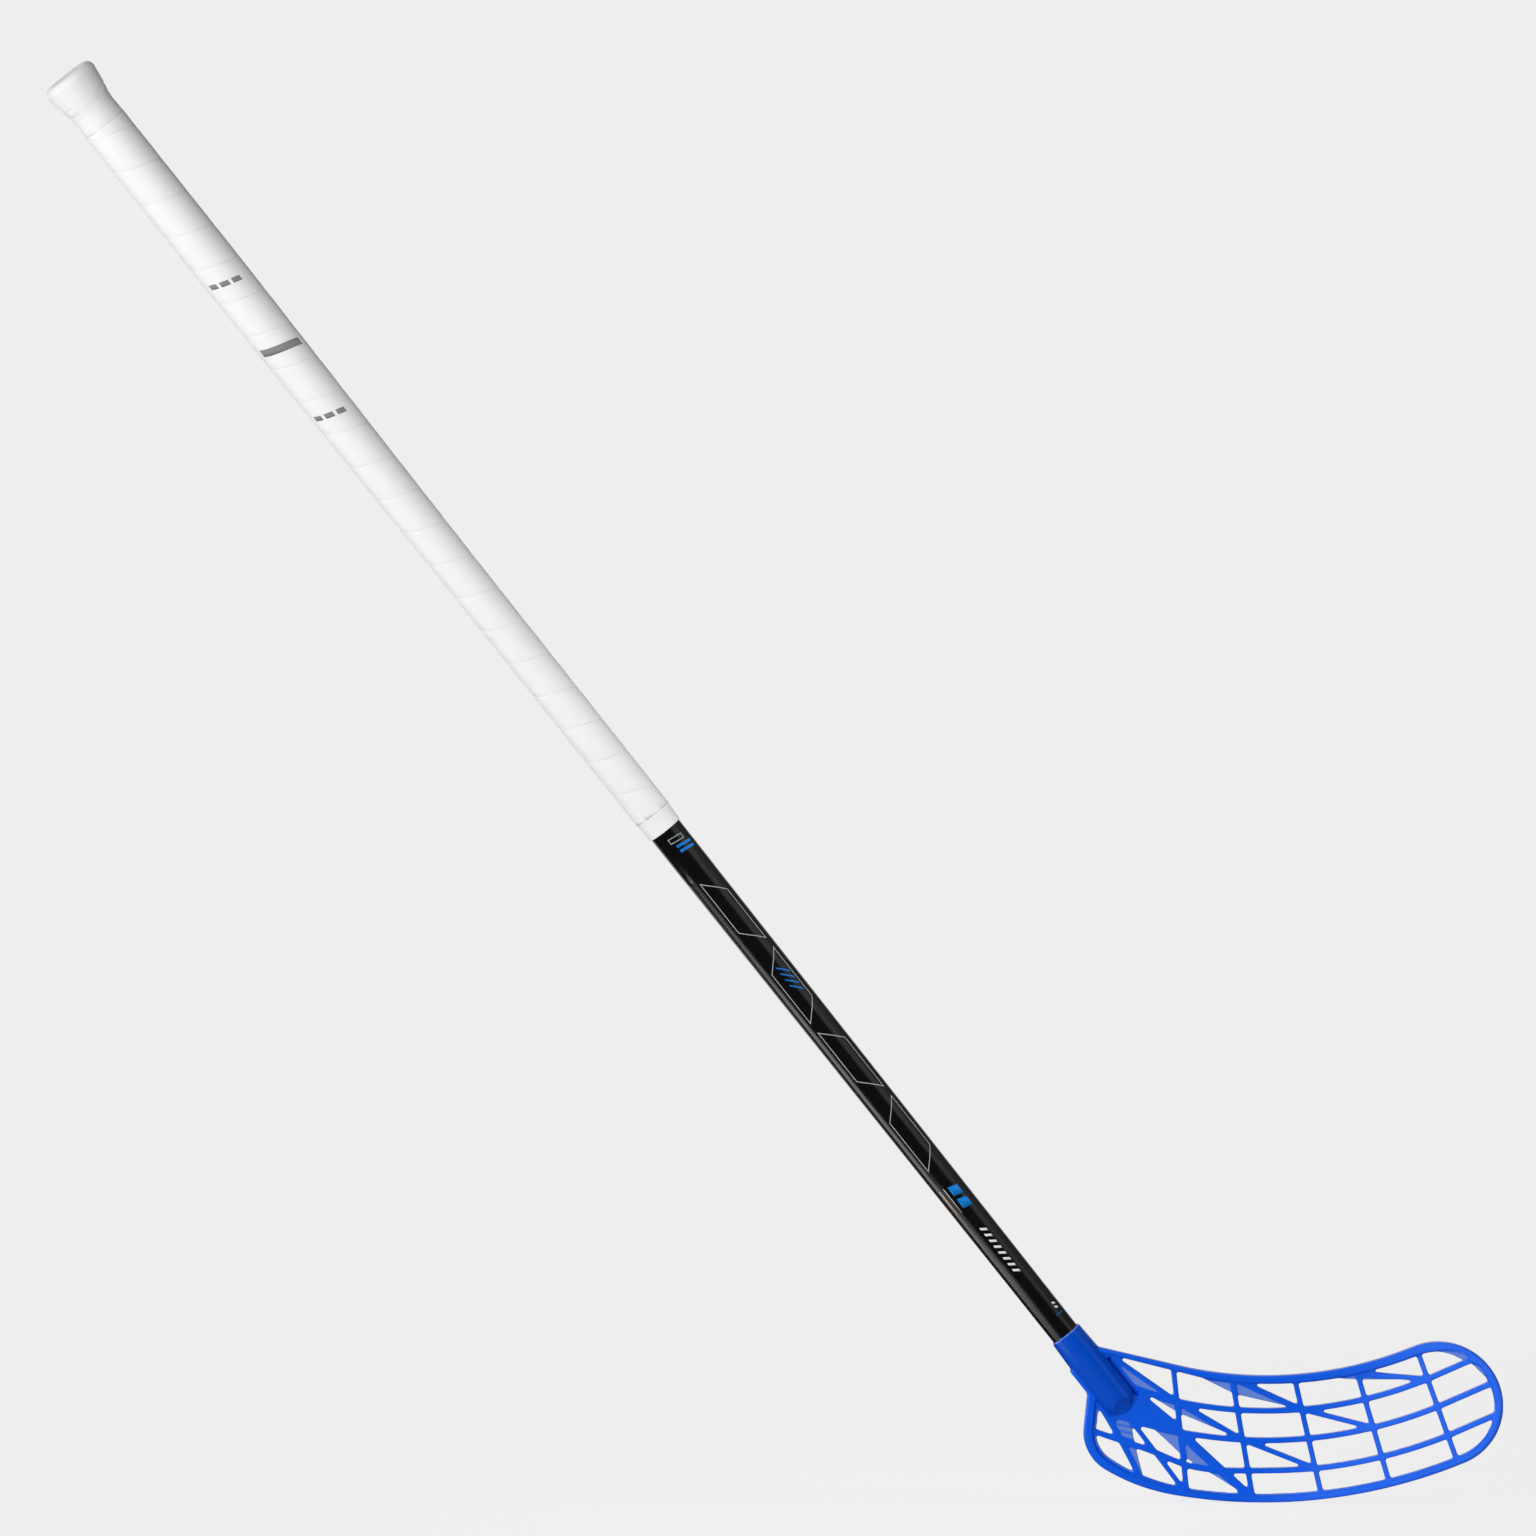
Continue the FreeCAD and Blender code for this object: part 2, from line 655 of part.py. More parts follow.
def make_socket():
    """Closed tube that takes the shaft's foot, domed at its lower end and sloped in front."""
    swell_end = mouth_station + socket_swell_length
    wide = socket_radius(shaft_end_station)
    narrow = socket_radius(mouth_station)
    straight = [(0, mouth_station), (narrow - socket_lip, mouth_station), (narrow, mouth_station + socket_lip),
                (wide, swell_end), (wide, socket_end_station)]
    points = [point_at(radius, station) for radius, station in straight]
    lines = [Part.makeLine(a, b) for a, b in zip(points, points[1:])]
    middle = math.sqrt(0.5)
    tip = point_at(0, socket_end_station + socket_floor)
    half_way = point_at(wide * middle, socket_end_station + socket_floor * middle)
    dome = Part.Arc(points[-1], half_way, tip).toShape()
    face = Part.Face(Part.Wire(lines + [dome, Part.makeLine(tip, points[0])]))
    socket = face.revolve(Vector(), Vector(0, 0, 1), 360)
    return at_lie(socket.cut(socket_facet(wide)))


def socket_facet(wide):
    """Block that cuts the slope at the lower end of the socket's front."""
    slope = math.radians(socket_facet_angle)
    begin = Vector(-cut_overrun, -wide, -socket_end_station)
    run = Vector(0, math.sin(slope), -math.cos(slope)) * cut_overrun
    front = Vector(0, -cut_overrun, 0)
    corners = [begin, begin + run, begin + run + front, begin + front]
    return Part.Face(Part.makePolygon(corners + corners[:1])).extrude(Vector(2 * cut_overrun, 0, 0))


def screw_seat():
    """How far behind the shaft's axis the screw's head sits."""
    return socket_radius(mouth_station + screw_drop) + boss_height


def make_screw():
    """Round-headed screw with a cross slot, through the socket's wall into the tube."""
    seat = screw_seat()
    top = seat + screw_head_height
    head = screw_rod(screw_head_diameter / 2, seat, top)
    crown = [edge for edge in head.Edges if edge.CenterOfMass.y > top - seat_gap]
    head = head.makeFillet(screw_head_height / 2, crown)
    screw = head.fuse(screw_rod(screw_diameter / 2 - seat_gap, seat - screw_length, seat))
    place = on_shaft(mouth_station + screw_drop, 0) + Vector(0, top - screw_slot_depth, 0)
    half = screw_slot_width / 2
    arm = screw_head_diameter * screw_slot_share
    for wide, tall in ((arm, half), (half, arm)):
        slot = Part.makeBox(2 * wide, cut_overrun, 2 * tall, place - Vector(wide, 0, tall))
        screw = screw.cut(slot)
    return screw


def screw_rod(radius, near, far):
    """Rod along the screw's axis, between two distances behind the shaft's axis."""
    place = on_shaft(mouth_station + screw_drop, 0) + Vector(0, near, 0)
    return Part.makeCylinder(radius, far - near, place, Vector(0, 1, 0))


def main():
    os.makedirs("parts", exist_ok=True)
    pieces = {
        "shaft_tube": make_shaft(),
        "butt_plug": make_plug(),
        "butt_knob": make_knob(),
        "grip_wrap": make_wrap(),
        "grip_end_tape": make_tape(),
        "blade": make_blade(),
        "blade_screw": make_screw(),
    }
    for name, shape in pieces.items():
        print(name, len(shape.Solids), shape.isValid(), round(shape.Volume))
        shape.Solids[0].exportStep("parts/" + name + ".step")


main()
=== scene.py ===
import json
import logging
import math
from dataclasses import dataclass
from enum import Enum
from typing import Any

import bmesh
import bpy
from mathutils import Matrix, Quaternion, Vector, noise
from mathutils.bvhtree import BVHTree


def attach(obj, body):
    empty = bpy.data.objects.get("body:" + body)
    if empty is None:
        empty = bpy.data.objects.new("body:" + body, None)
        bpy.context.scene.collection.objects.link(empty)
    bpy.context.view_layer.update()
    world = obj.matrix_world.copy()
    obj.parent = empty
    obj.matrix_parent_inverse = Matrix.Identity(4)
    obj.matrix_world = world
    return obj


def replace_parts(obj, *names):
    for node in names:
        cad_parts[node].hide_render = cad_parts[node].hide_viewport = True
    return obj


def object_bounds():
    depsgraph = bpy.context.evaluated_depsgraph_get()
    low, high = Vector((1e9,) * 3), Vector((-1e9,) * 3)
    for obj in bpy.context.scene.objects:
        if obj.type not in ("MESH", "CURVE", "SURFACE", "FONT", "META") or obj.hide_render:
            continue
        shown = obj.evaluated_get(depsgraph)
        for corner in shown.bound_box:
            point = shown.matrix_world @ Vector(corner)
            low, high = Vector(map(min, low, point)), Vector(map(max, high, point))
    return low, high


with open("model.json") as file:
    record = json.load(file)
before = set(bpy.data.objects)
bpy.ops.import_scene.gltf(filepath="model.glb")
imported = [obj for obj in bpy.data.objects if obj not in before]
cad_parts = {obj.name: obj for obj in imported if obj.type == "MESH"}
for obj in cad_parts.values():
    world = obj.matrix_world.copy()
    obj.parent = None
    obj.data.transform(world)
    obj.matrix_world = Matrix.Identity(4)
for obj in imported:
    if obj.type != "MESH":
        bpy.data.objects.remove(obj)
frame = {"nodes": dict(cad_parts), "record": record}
cad_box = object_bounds()
log = logging.getLogger("floorball_stick")

# Lengths are in metres. A station is the distance from the butt face down the shaft's axis.
# Pieces of the shaft are drawn upright: x across the shaft, y towards the viewer, z the station.

BODY = "root"
MERGE_DISTANCE = 1e-7
GRAINS_PER_CLOUD = 40
Colour = tuple[float, float, float]
WHITE: Colour = (1.0, 1.0, 1.0)


class Slot(Enum):
    """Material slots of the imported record."""

    SHAFT = "shaft_lacquer"
    PLUG = "plug_plastic"
    KNOB = "knob_rubber"
    GRIP = "grip_band"
    TAPE = "end_tape"
    BLADE = "blade_plastic"
    SCREW = "screw_steel"


class Graph:
    """Short way to write one node tree."""

    def __init__(self, tree: bpy.types.NodeTree) -> None:
        """Start from an empty tree.

        Args:
            tree: Node tree of a material or of the world.
        """
        self.tree = tree
        self.tree.nodes.clear()

    def node(self, kind: str, sockets: dict[Any, Any] | None = None, **settings: Any) -> bpy.types.Node:
        """Add one node.

        Args:
            kind: Node type without its common prefix.
            sockets: Values or output sockets for inputs, by name or place.
            settings: Attributes of the node.

        Returns:
            The new node.
        """
        made = self.tree.nodes.new("ShaderNode" + kind)
        for name, value in settings.items():
            setattr(made, name, value)
        for key, value in (sockets or {}).items():
            if isinstance(value, bpy.types.NodeSocket):
                self.tree.links.new(value, made.inputs[key])
            else:
                made.inputs[key].default_value = value
        return made

    def math(self, operation: str, first: Any, second: Any = 0.0) -> bpy.types.NodeSocket:
        """Result of one operation on two values or sockets."""
        return self.node("Math", {0: first, 1: second}, operation=operation).outputs[0]

    def mix(self, factor: Any, first: Any, second: Any) -> bpy.types.NodeSocket:
        """Colour between two colours or sockets."""
        return self.node("Mix", {0: factor, 6: first, 7: second}, data_type="RGBA").outputs[2]

    def spread(self, value: Any, start: float, stop: float, low: float,
               high: float) -> bpy.types.NodeSocket:
        """Value mapped from one range to another, held at its ends."""
        sockets = {"Value": value, "From Min": start, "From Max": stop, "To Min": low, "To Max": high}
        return self.node("MapRange", sockets).outputs[0]

    def noise(self, place: Any, scale: float, detail: float = 2.0) -> bpy.types.NodeSocket:
        """Cloudy value between 0 and 1 at a place."""
        return self.node("TexNoise", {"Vector": place, "Scale": scale, "Detail": detail}).outputs[0]

    def object_place(self) -> bpy.types.NodeSocket:
        """Place on the piece, in metres."""
        return self.node("TexCoord").outputs["Object"]


def rgba(colour: Colour) -> tuple[float, float, float, float]:
    """Colour with full cover."""
    return (*colour, 1.0)


def between(first: float, second: float, share: float) -> float:
    """Value at a share of the way from a first to a second one."""
    return first + (second - first) * share


def held(value: float) -> float:
    """Value held between 0 and 1."""
    return min(1.0, max(0.0, value))


@dataclass(frozen=True)
class Finish:
    """A finish that all surfaces of one material share.

    Attributes:
        name: Name of the material.
        colour: Main colour, linear.
        second: Colour that the main one drifts towards.
        roughness: Middle roughness.
        drift: How much the roughness drifts to both sides.
        grain: Grains per metre in the surface.
        relief: Height of the grain in metres.
        specular: Specular level of the shader.
    """

    name: str
    colour: Colour
    second: Colour
    roughness: float
    drift: float
    grain: float
    relief: float
    specular: float = 0.5

    def material(self) -> bpy.types.Material:
        """Material with this finish.

        Returns:
            The material, made once for each name.
        """
        made = bpy.data.materials.get(self.name)
        if made is None:
            made = bpy.data.materials.new(self.name)
            made.use_nodes = True
            graph = Graph(made.node_tree)
            shader = graph.node("BsdfPrincipled", {"Specular IOR Level": self.specular})
            self.dress(graph, shader)
            graph.node("OutputMaterial", {"Surface": shader.outputs[0]})
        return made

    def dress(self, graph: Graph, shader: bpy.types.Node) -> None:
        """Link colour, roughness and relief to the shader.

        Args:
            graph: Tree that the nodes go into.
            shader: Principled shader of the finish.
        """
        place = graph.object_place()
        cloud = self.cloud(graph, place)
        self.link(graph, shader, graph.mix(cloud, rgba(self.colour), rgba(self.second)), cloud)
        self.raise_grain(graph, shader, graph.noise(place, self.grain, 4.0))

    def cloud(self, graph: Graph, place: Any) -> bpy.types.NodeSocket:
        """Soft clouds, many times as large as the grain."""
        return graph.noise(place, self.grain / GRAINS_PER_CLOUD)

    def link(self, graph: Graph, shader: bpy.types.Node, colour: Any, cloud: Any) -> None:
        """Give the shader its colour and a drifting roughness.

        Args:
            graph: Tree that the nodes go into.
            shader: Principled shader of the finish.
            colour: Socket with the colour.
            cloud: Socket with the clouds that the roughness follows.
        """
        low = self.roughness - self.drift
        high = self.roughness + self.drift
        graph.tree.links.new(colour, shader.inputs["Base Color"])
        graph.tree.links.new(graph.spread(cloud, 0.0, 1.0, low, high), shader.inputs["Roughness"])

    def raise_grain(self, graph: Graph, shader: bpy.types.Node, height: Any) -> None:
        """Let a height stand out of the surface."""
        bump = graph.node("Bump", {"Height": height, "Distance": self.relief})
        graph.tree.links.new(bump.outputs[0], shader.inputs["Normal"])


@dataclass(frozen=True)
class GripFinish(Finish):
    """Soft white band with a leathery grain and a little sheen.

    Attributes:
        pore: Pores per metre.
        pore_edge: Distance from a pore's middle at which it ends, in pores.
        sheen: Weight of the soft sheen.
    """

    pore: float = 1500.0
    pore_edge: float = 0.35
    sheen: float = 0.15

    def dress(self, graph: Graph, shader: bpy.types.Node) -> None:
        """Link a grain of small cells over soft clouds of colour.

        Args:
            graph: Tree that the nodes go into.
            shader: Principled shader of the finish.
        """
        shader.inputs["Sheen Weight"].default_value = self.sheen
        place = graph.object_place()
        cloud = self.cloud(graph, place)
        cells = graph.node("TexVoronoi", {"Vector": place, "Scale": self.pore}).outputs["Distance"]
        folds = graph.noise(place, self.grain, 4.0)
        pores = graph.spread(cells, 0.0, self.pore_edge, 0.0, 1.0)
        shade = graph.mix(cloud, rgba(self.colour), rgba(self.second))
        self.link(graph, shader, shade, cloud)
        self.raise_grain(graph, shader, graph.math("ADD", pores, folds))


@dataclass(frozen=True)
class MouldedFinish(Finish):
    """Moulded plastic with painted light: its thin walls are painted paler, in place of light coming through
    them, and its toe lighter, as a painted sheen.

    Attributes:
        thin: Colour of the thin webs, painted paler in place of the light that comes through them.
        backed: Colour of the socket, which has the dark tube behind it.
        toe: Painted sheen: lighter colour at the toe, in place of the surround's reflection there.
        toe_start: How far along the blade the toe's colour starts, on the floor.
        toe_run: Length over which it comes up.
        toe_lean: How far it starts later for each length higher up.
        thin_mark: Attribute that is 1 on thin walls.
        backed_mark: Attribute that is 1 on the socket.
    """

    thin: Colour = (0.135, 0.25, 0.71)
    backed: Colour = (0.0, 0.069, 0.54)
    toe: Colour = (0.021, 0.148, 0.90)
    toe_start: float = 0.700
    toe_run: float = 0.045
    toe_lean: float = 0.82
    thin_mark: str = "thin_wall"
    backed_mark: str = "over_tube"

    def dress(self, graph: Graph, shader: bpy.types.Node) -> None:
        """Link the colour by the wall, with painted light on thin walls, a painted sheen towards the toe and
        fine spark marks in the surface.

        Args:
            graph: Tree that the nodes go into.
            shader: Principled shader of the finish.
        """
        place = graph.object_place()
        cloud = self.cloud(graph, place)
        thin = graph.node("Attribute", attribute_name=self.thin_mark).outputs["Fac"]
        backed = graph.node("Attribute", attribute_name=self.backed_mark).outputs["Fac"]
        solid = graph.mix(cloud, rgba(self.colour), rgba(self.second))
        # Painted sheen: the colour turns lighter towards the toe, in place of the surround's reflection.
        solid = graph.mix(self.toe_sheen_share(graph, place), solid, rgba(self.toe))
        # Painted light: thin walls take the paler colour, in place of light coming through them.
        walls = graph.mix(thin, solid, rgba(self.thin))
        self.link(graph, shader, graph.mix(backed, walls, rgba(self.backed)), cloud)
        self.raise_grain(graph, shader, graph.noise(place, self.grain, 4.0))

    def toe_sheen_share(self, graph: Graph, place: bpy.types.NodeSocket) -> bpy.types.NodeSocket:
        """How far a place has the toe's painted sheen.

        Args:
            graph: Tree that the nodes go into.
            place: Place on the blade.

        Returns:
            Value from 0 at the heel to 1 at the toe.
        """
        axes = graph.node("SeparateXYZ", {0: place}).outputs
        height = graph.math("SUBTRACT", axes["Z"], cad_box[0].z)
        reach = graph.math("SUBTRACT", axes["X"], graph.math("MULTIPLY", height, self.toe_lean))
        return graph.spread(reach, self.toe_start, self.toe_start + self.toe_run, 0.0, 1.0)


@dataclass(frozen=True)
class LacquerFinish(Finish):
    """Black lacquer over a laminate, with faint streaks along the tube.

    Attributes:
        streak: Width of a streak as a share of its length.
    """

    streak: float = 0.05

    def dress(self, graph: Graph, shader: bpy.types.Node) -> None:
        """Link long faint streaks, drawn out along the shaft's line.

        Args:
            graph: Tree that the nodes go into.
            shader: Principled shader of the finish.
        """
        lie = math.atan2(-line.down.z, line.down.x)
        place = graph.object_place()
        turned = graph.node("Mapping", {"Vector": place, "Rotation": (0.0, lie, 0.0)}).outputs[0]
        drawn = graph.node("Mapping", {"Vector": turned, "Scale": (self.streak, 1.0, 1.0)}).outputs[0]
        cloud = graph.noise(drawn, self.grain, 3.0)
        self.link(graph, shader, graph.mix(cloud, rgba(self.colour), rgba(self.second)), cloud)
        self.raise_grain(graph, shader, graph.noise(place, self.grain, 2.0))


@dataclass(frozen=True)
class MetalFinish(Finish):
    """Bare metal."""

    def dress(self, graph: Graph, shader: bpy.types.Node) -> None:
        """Link the plain finish on a metallic shader."""
        shader.inputs["Metallic"].default_value = 1.0
        super().dress(graph, shader)


@dataclass(frozen=True)
class InkFinish(Finish):
    """Printed ink, with the values that most inks of the stick share."""

    roughness: float = 0.35
    drift: float = 0.05
    grain: float = 900.0
    relief: float = 0.000003


LACQUER = LacquerFinish("black_lacquer", colour=(0.0035, 0.0036, 0.004), second=(0.006, 0.006, 0.0066),
                        roughness=0.2, drift=0.05, grain=400.0, relief=0.000003, specular=0.4)
GRIP_WHITE = GripFinish("white_grip_band", colour=(0.90, 0.90, 0.90), second=(0.86, 0.86, 0.865),
                        roughness=0.62, drift=0.06, grain=700.0, relief=0.00006, specular=0.2)
KNOB_WHITE = GripFinish("white_knob_rubber", colour=(0.88, 0.88, 0.88), second=(0.84, 0.84, 0.845),
                        roughness=0.6, drift=0.06, grain=500.0, relief=0.00006, specular=0.2)
TAPE_WHITE = Finish("white_end_tape", colour=(0.89, 0.89, 0.89), second=(0.84, 0.84, 0.84),
                    roughness=0.5, drift=0.06, grain=1200.0, relief=0.000004, specular=0.15)
PLUG_WHITE = Finish("white_plug_plastic", colour=(0.80, 0.80, 0.80), second=(0.76, 0.76, 0.76),
                    roughness=0.45, drift=0.06, grain=900.0, relief=0.00001)
BLADE_BLUE = MouldedFinish("royal_blue_plastic", colour=(0.003, 0.110, 0.80), second=(0.002, 0.100, 0.74),
                           roughness=0.30, drift=0.05, grain=1600.0, relief=0.000005, specular=0.28)
SCREW_STEEL = MetalFinish("zinc_screw", colour=(0.55, 0.55, 0.56), second=(0.45, 0.45, 0.46),
                          roughness=0.32, drift=0.08, grain=1500.0, relief=0.000008)
SILVER_INK = InkFinish("silver_ink", (0.36, 0.41, 0.42), (0.44, 0.42, 0.40), drift=0.06)
WARM_INK = InkFinish("warm_pale_ink", (0.72, 0.52, 0.36), (0.66, 0.48, 0.34), roughness=0.4, drift=0.06)
BLUE_INK = InkFinish("blue_ink", (0.0, 0.20, 0.62), (0.0, 0.17, 0.55))
WHITE_INK = InkFinish("white_ink", (0.82, 0.82, 0.82), (0.74, 0.74, 0.74), roughness=0.4)
GREY_INK = InkFinish("grey_ink", (0.20, 0.20, 0.205), (0.26, 0.26, 0.265), roughness=0.55, drift=0.06,
                     relief=0.000004)


@dataclass(frozen=True)
class ShaftLine:
    """The shaft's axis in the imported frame.

    Attributes:
        down: Direction from the butt face to the blade.
        across: Direction to the right of the shaft, as the viewer sees it.
        viewer: Direction to the viewer.
    """

    down: Vector
    across: Vector
    viewer: Vector

    @classmethod
    def from_record(cls, record: dict[str, Any]) -> "ShaftLine":
        """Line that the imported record's butt face gives.

        Args:
            record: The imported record.

        Returns:
            The shaft's line, from the origin.
        """
        mount = next(m for m in record["mounts"] if m["name"] == "butt_face")
        down = -Vector(mount["axis"]).normalized()
        viewer = Vector((0.0, -1.0, 0.0))
        return cls(down, viewer.cross(down), viewer)

    def point(self, station: float, aside: float, forward: float) -> Vector:
        """Point at a station, aside to the right and forward to the viewer."""
        return self.down * station + self.across * aside + self.viewer * forward

    def matrix(self) -> Matrix:
        """Turn from the upright drawing to the frame."""
        return Matrix((self.across, self.viewer, self.down)).transposed().to_4x4()


@dataclass(frozen=True)
class ShaftTaper:
    """Outer radius of the tube, straight between its stations."""

    stations: tuple[float, ...] = (0.154, 0.379, 0.577, 0.964)
    radii: tuple[float, ...] = (0.0126, 0.0108, 0.0104, 0.0089)

    def radius(self, station: float) -> float:
        """Radius at a station.

        Args:
            station: Distance down the shaft.

        Returns:
            The tube's outer radius there.
        """
        place = min(max(station, self.stations[0]), self.stations[-1])
        for i in range(1, len(self.stations)):
            if place <= self.stations[i]:
                share = (place - self.stations[i - 1]) / (self.stations[i] - self.stations[i - 1])
                return between(self.radii[i - 1], self.radii[i], share)
        return self.radii[-1]


line = ShaftLine.from_record(frame["record"])
taper = ShaftTaper()


def drawn_profile(points: list[tuple[float, float]], closed: bool) -> bmesh.types.BMesh:
    """Profile to be spun, in the plane of the axis.

    Args:
        points: Radius and station of each corner.
        closed: Whether the last corner joins the first.

    Returns:
        A bmesh with the profile's edges.
    """
    bm = bmesh.new()
    verts = [bm.verts.new((radius, 0.0, station)) for radius, station in points]
    for first, second in zip(verts, verts[1:]):
        bm.edges.new((first, second))
    if closed:
        bm.edges.new((verts[-1], verts[0]))
    return bm


def spin_round(bm: bmesh.types.BMesh, segments: int) -> None:
    """Turn a profile right round the axis and close it.

    Args:
        bm: Profile, which becomes the whole shape.
        segments: Steps in the turn.
    """
    geometry = list(bm.verts) + list(bm.edges)
    bmesh.ops.spin(bm, geom=geometry, cent=(0, 0, 0), axis=(0, 0, 1), angle=2 * math.pi,
                   steps=segments, use_merge=True)
    close_up(bm)


def close_up(bm: bmesh.types.BMesh) -> None:
    """Merge doubles and turn the faces outwards."""
    bmesh.ops.remove_doubles(bm, verts=bm.verts, dist=MERGE_DISTANCE)
    bmesh.ops.recalc_face_normals(bm, faces=bm.faces)


def round_corners(bm: bmesh.types.BMesh, verts: list[bmesh.types.BMVert], offset: float,
                  segments: int) -> None:
    """Round some corners of a profile.

    Args:
        bm: Profile with edges only.
        verts: Corners to round.
        offset: How far from the corner the round starts.
        segments: Steps in each round.
    """
    edges = list({edge for vert in verts for edge in vert.link_edges})
    bmesh.ops.bevel(bm, geom=verts + edges, offset=offset, offset_type="OFFSET", affect="VERTICES",
                    segments=segments, profile=0.5, material=-1)


def add_piece(name: str, bm: bmesh.types.BMesh, finish: Finish) -> bpy.types.Object:
    """Make a piece of the stick from a finished bmesh.

    Args:
        name: Name of the piece.
        bm: Its mesh, placed in the frame; it is freed.
        finish: Finish of all its faces.

    Returns:
        The piece, riding on the stick.
    """
    mesh = bpy.data.meshes.new(name)
    for face in bm.faces:
        face.smooth = True
    bm.to_mesh(mesh)
    bm.free()
    return add_mesh(name, mesh, finish)


def add_mesh(name: str, mesh: bpy.types.Mesh, finish: Finish) -> bpy.types.Object:
    """Make a piece of the stick from a mesh that is in place.

    Args:
        name: Name of the piece.
        mesh: Its mesh.
        finish: Finish of all its faces.

    Returns:
        The piece, riding on the stick.
    """
    mesh.materials.clear()
    mesh.materials.append(finish.material())
    piece = bpy.data.objects.new(name, mesh)
    bpy.context.scene.collection.objects.link(piece)
    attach(piece, BODY)
    log.info("%s: %d faces", name, len(mesh.polygons))
    return piece


def dress_node(name: str, finish: Finish) -> None:
    """Give a CAD node that stays its finish.

    Args:
        name: Name of the node.
        finish: Finish of all its faces.
    """
    node = frame["nodes"][name]
    node.data.materials.clear()
    node.data.materials.append(finish.material())
    log.info("%s: kept from the frame", name)


@dataclass
class ShaftTube:
    """Lacquered tube, smooth at its upper end and finely ringed towards the blade."""

    start: float = 0.0065
    foot: float = 1.0065
    wall: float = 0.0014
    ring_start: float = 0.612
    ring_end: float = 0.964
    ring_pitch: float = 0.0013
    ring_height: float = 0.00020
    points_per_ring: int = 6
    segments: int = 48

    def build(self) -> None:
        """Spin the tube, with its rings as real relief."""
        stops = [self.start, *taper.stations[:-1], self.ring_start, self.ring_end, self.foot]
        outer = [(taper.radius(station), station) for station in stops]
        inner = [(taper.radius(station) - self.wall, station) for station in reversed(stops)]
        bm = drawn_profile(outer + inner, True)
        bm.verts.ensure_lookup_table()
        first = stops.index(self.ring_start)
        ringed = bm.edges.get((bm.verts[first], bm.verts[first + 1]))
        rings = round((self.ring_end - self.ring_start) / self.ring_pitch)
        cut = bmesh.ops.subdivide_edges(bm, edges=[ringed], cuts=rings * self.points_per_ring - 1)
        for vert in cut["geom_inner"]:
            if isinstance(vert, bmesh.types.BMVert):
                share = (vert.co.z - self.ring_start) / self.ring_pitch % 1.0
                vert.co.x -= self.ring_height * (2 * share - 1) ** 2
        spin_round(bm, self.segments)
        bm.transform(line.matrix())
        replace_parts(add_piece("shaft_skin", bm, LACQUER), "shaft_tube")


@dataclass
class ButtKnob:
    """Flared soft cap with a rounded end, and folds where it is stretched over the tube."""

    end_wall: float = 0.004
    flange_radius: float = 0.01405
    flange_station: float = 0.0065
    end_radius: float = 0.0172
    edge_round: float = 0.0050
    edge_steps: int = 10
    flare_length: float = 0.0255
    flare_cuts: int = 3
    bulge: float = 0.0003
    neck_radius: float = 0.0139
    creases: tuple[float, ...] = (0.0175, 0.0225)
    crease_half: float = 0.0011
    crease_depth: float = 0.0003
    length: float = 0.03695
    bore_gap: float = 0.00005
    corner_round: float = 0.0006
    corner_steps: int = 4
    fold_height: float = 0.00045
    fold_grain: float = 150.0
    fold_flatness: float = 2.0
    segments: int = 128

    def build(self) -> None:
        """Spin the cap, then press uneven folds into its flare."""
        bore = taper.radius(0.0) + self.bore_gap
        outer = [(0.0, 0.0), (self.end_radius, 0.0), (self.end_radius, self.edge_round)]
        for station in self.creases:
            for step in (-1, 0, 1):
                place = station + step * self.crease_half
                outer.append((self.flare(place) - (self.crease_depth if step == 0 else 0.0), place))
        outer += [(self.neck_radius, self.flare_length), (self.neck_radius, self.length)]
        inner = [(bore, self.length), (bore, self.flange_station),
                 (self.flange_radius, self.flange_station), (self.flange_radius, self.end_wall),
                 (0.0, self.end_wall)]
        bm = drawn_profile(outer + inner, False)
        bm.verts.ensure_lookup_table()
        round_corners(bm, [bm.verts[1]], self.edge_round, self.edge_steps)
        soft = [vert for vert in bm.verts if self.is_flare(vert.co)]
        round_corners(bm, soft, self.corner_round, self.corner_steps)
        long_edges = [edge for edge in bm.edges if self.is_flare(edge.verts[0].co)]
        bmesh.ops.subdivide_edges(bm, edges=long_edges, cuts=self.flare_cuts)
        spin_round(bm, self.segments)
        for vert in bm.verts:
            if self.is_flare(vert.co):
                self.fold(vert)
        bm.transform(line.matrix())
        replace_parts(add_piece("knob_cover", bm, KNOB_WHITE), "butt_knob")

    def flare(self, station: float) -> float:
        """Outer radius of the flare at a station."""
        share = (station - self.edge_round) / (self.flare_length - self.edge_round)
        return between(self.end_radius, self.neck_radius, share) + 4 * self.bulge * share * (1 - share)

    def is_flare(self, place: Vector) -> bool:
        """Whether a place is on the outer flare."""
        radius = math.hypot(place.x, place.y)
        return radius > self.neck_radius - self.fold_height and self.edge_round < place.z < self.length

    def fold(self, vert: bmesh.types.BMVert) -> None:
        """Press one point in, as the stretched rubber folds.

        Args:
            vert: Point of the flare.
        """
        share = math.sin(math.pi * (vert.co.z - self.edge_round) / (self.length - self.edge_round))
        place = Vector((vert.co.x, vert.co.y, vert.co.z * self.fold_flatness)) * self.fold_grain
        depth = self.fold_height * share * (0.5 + 0.5 * noise.noise(place))
        radius = math.hypot(vert.co.x, vert.co.y)
        vert.co.xy *= (radius - depth) / radius


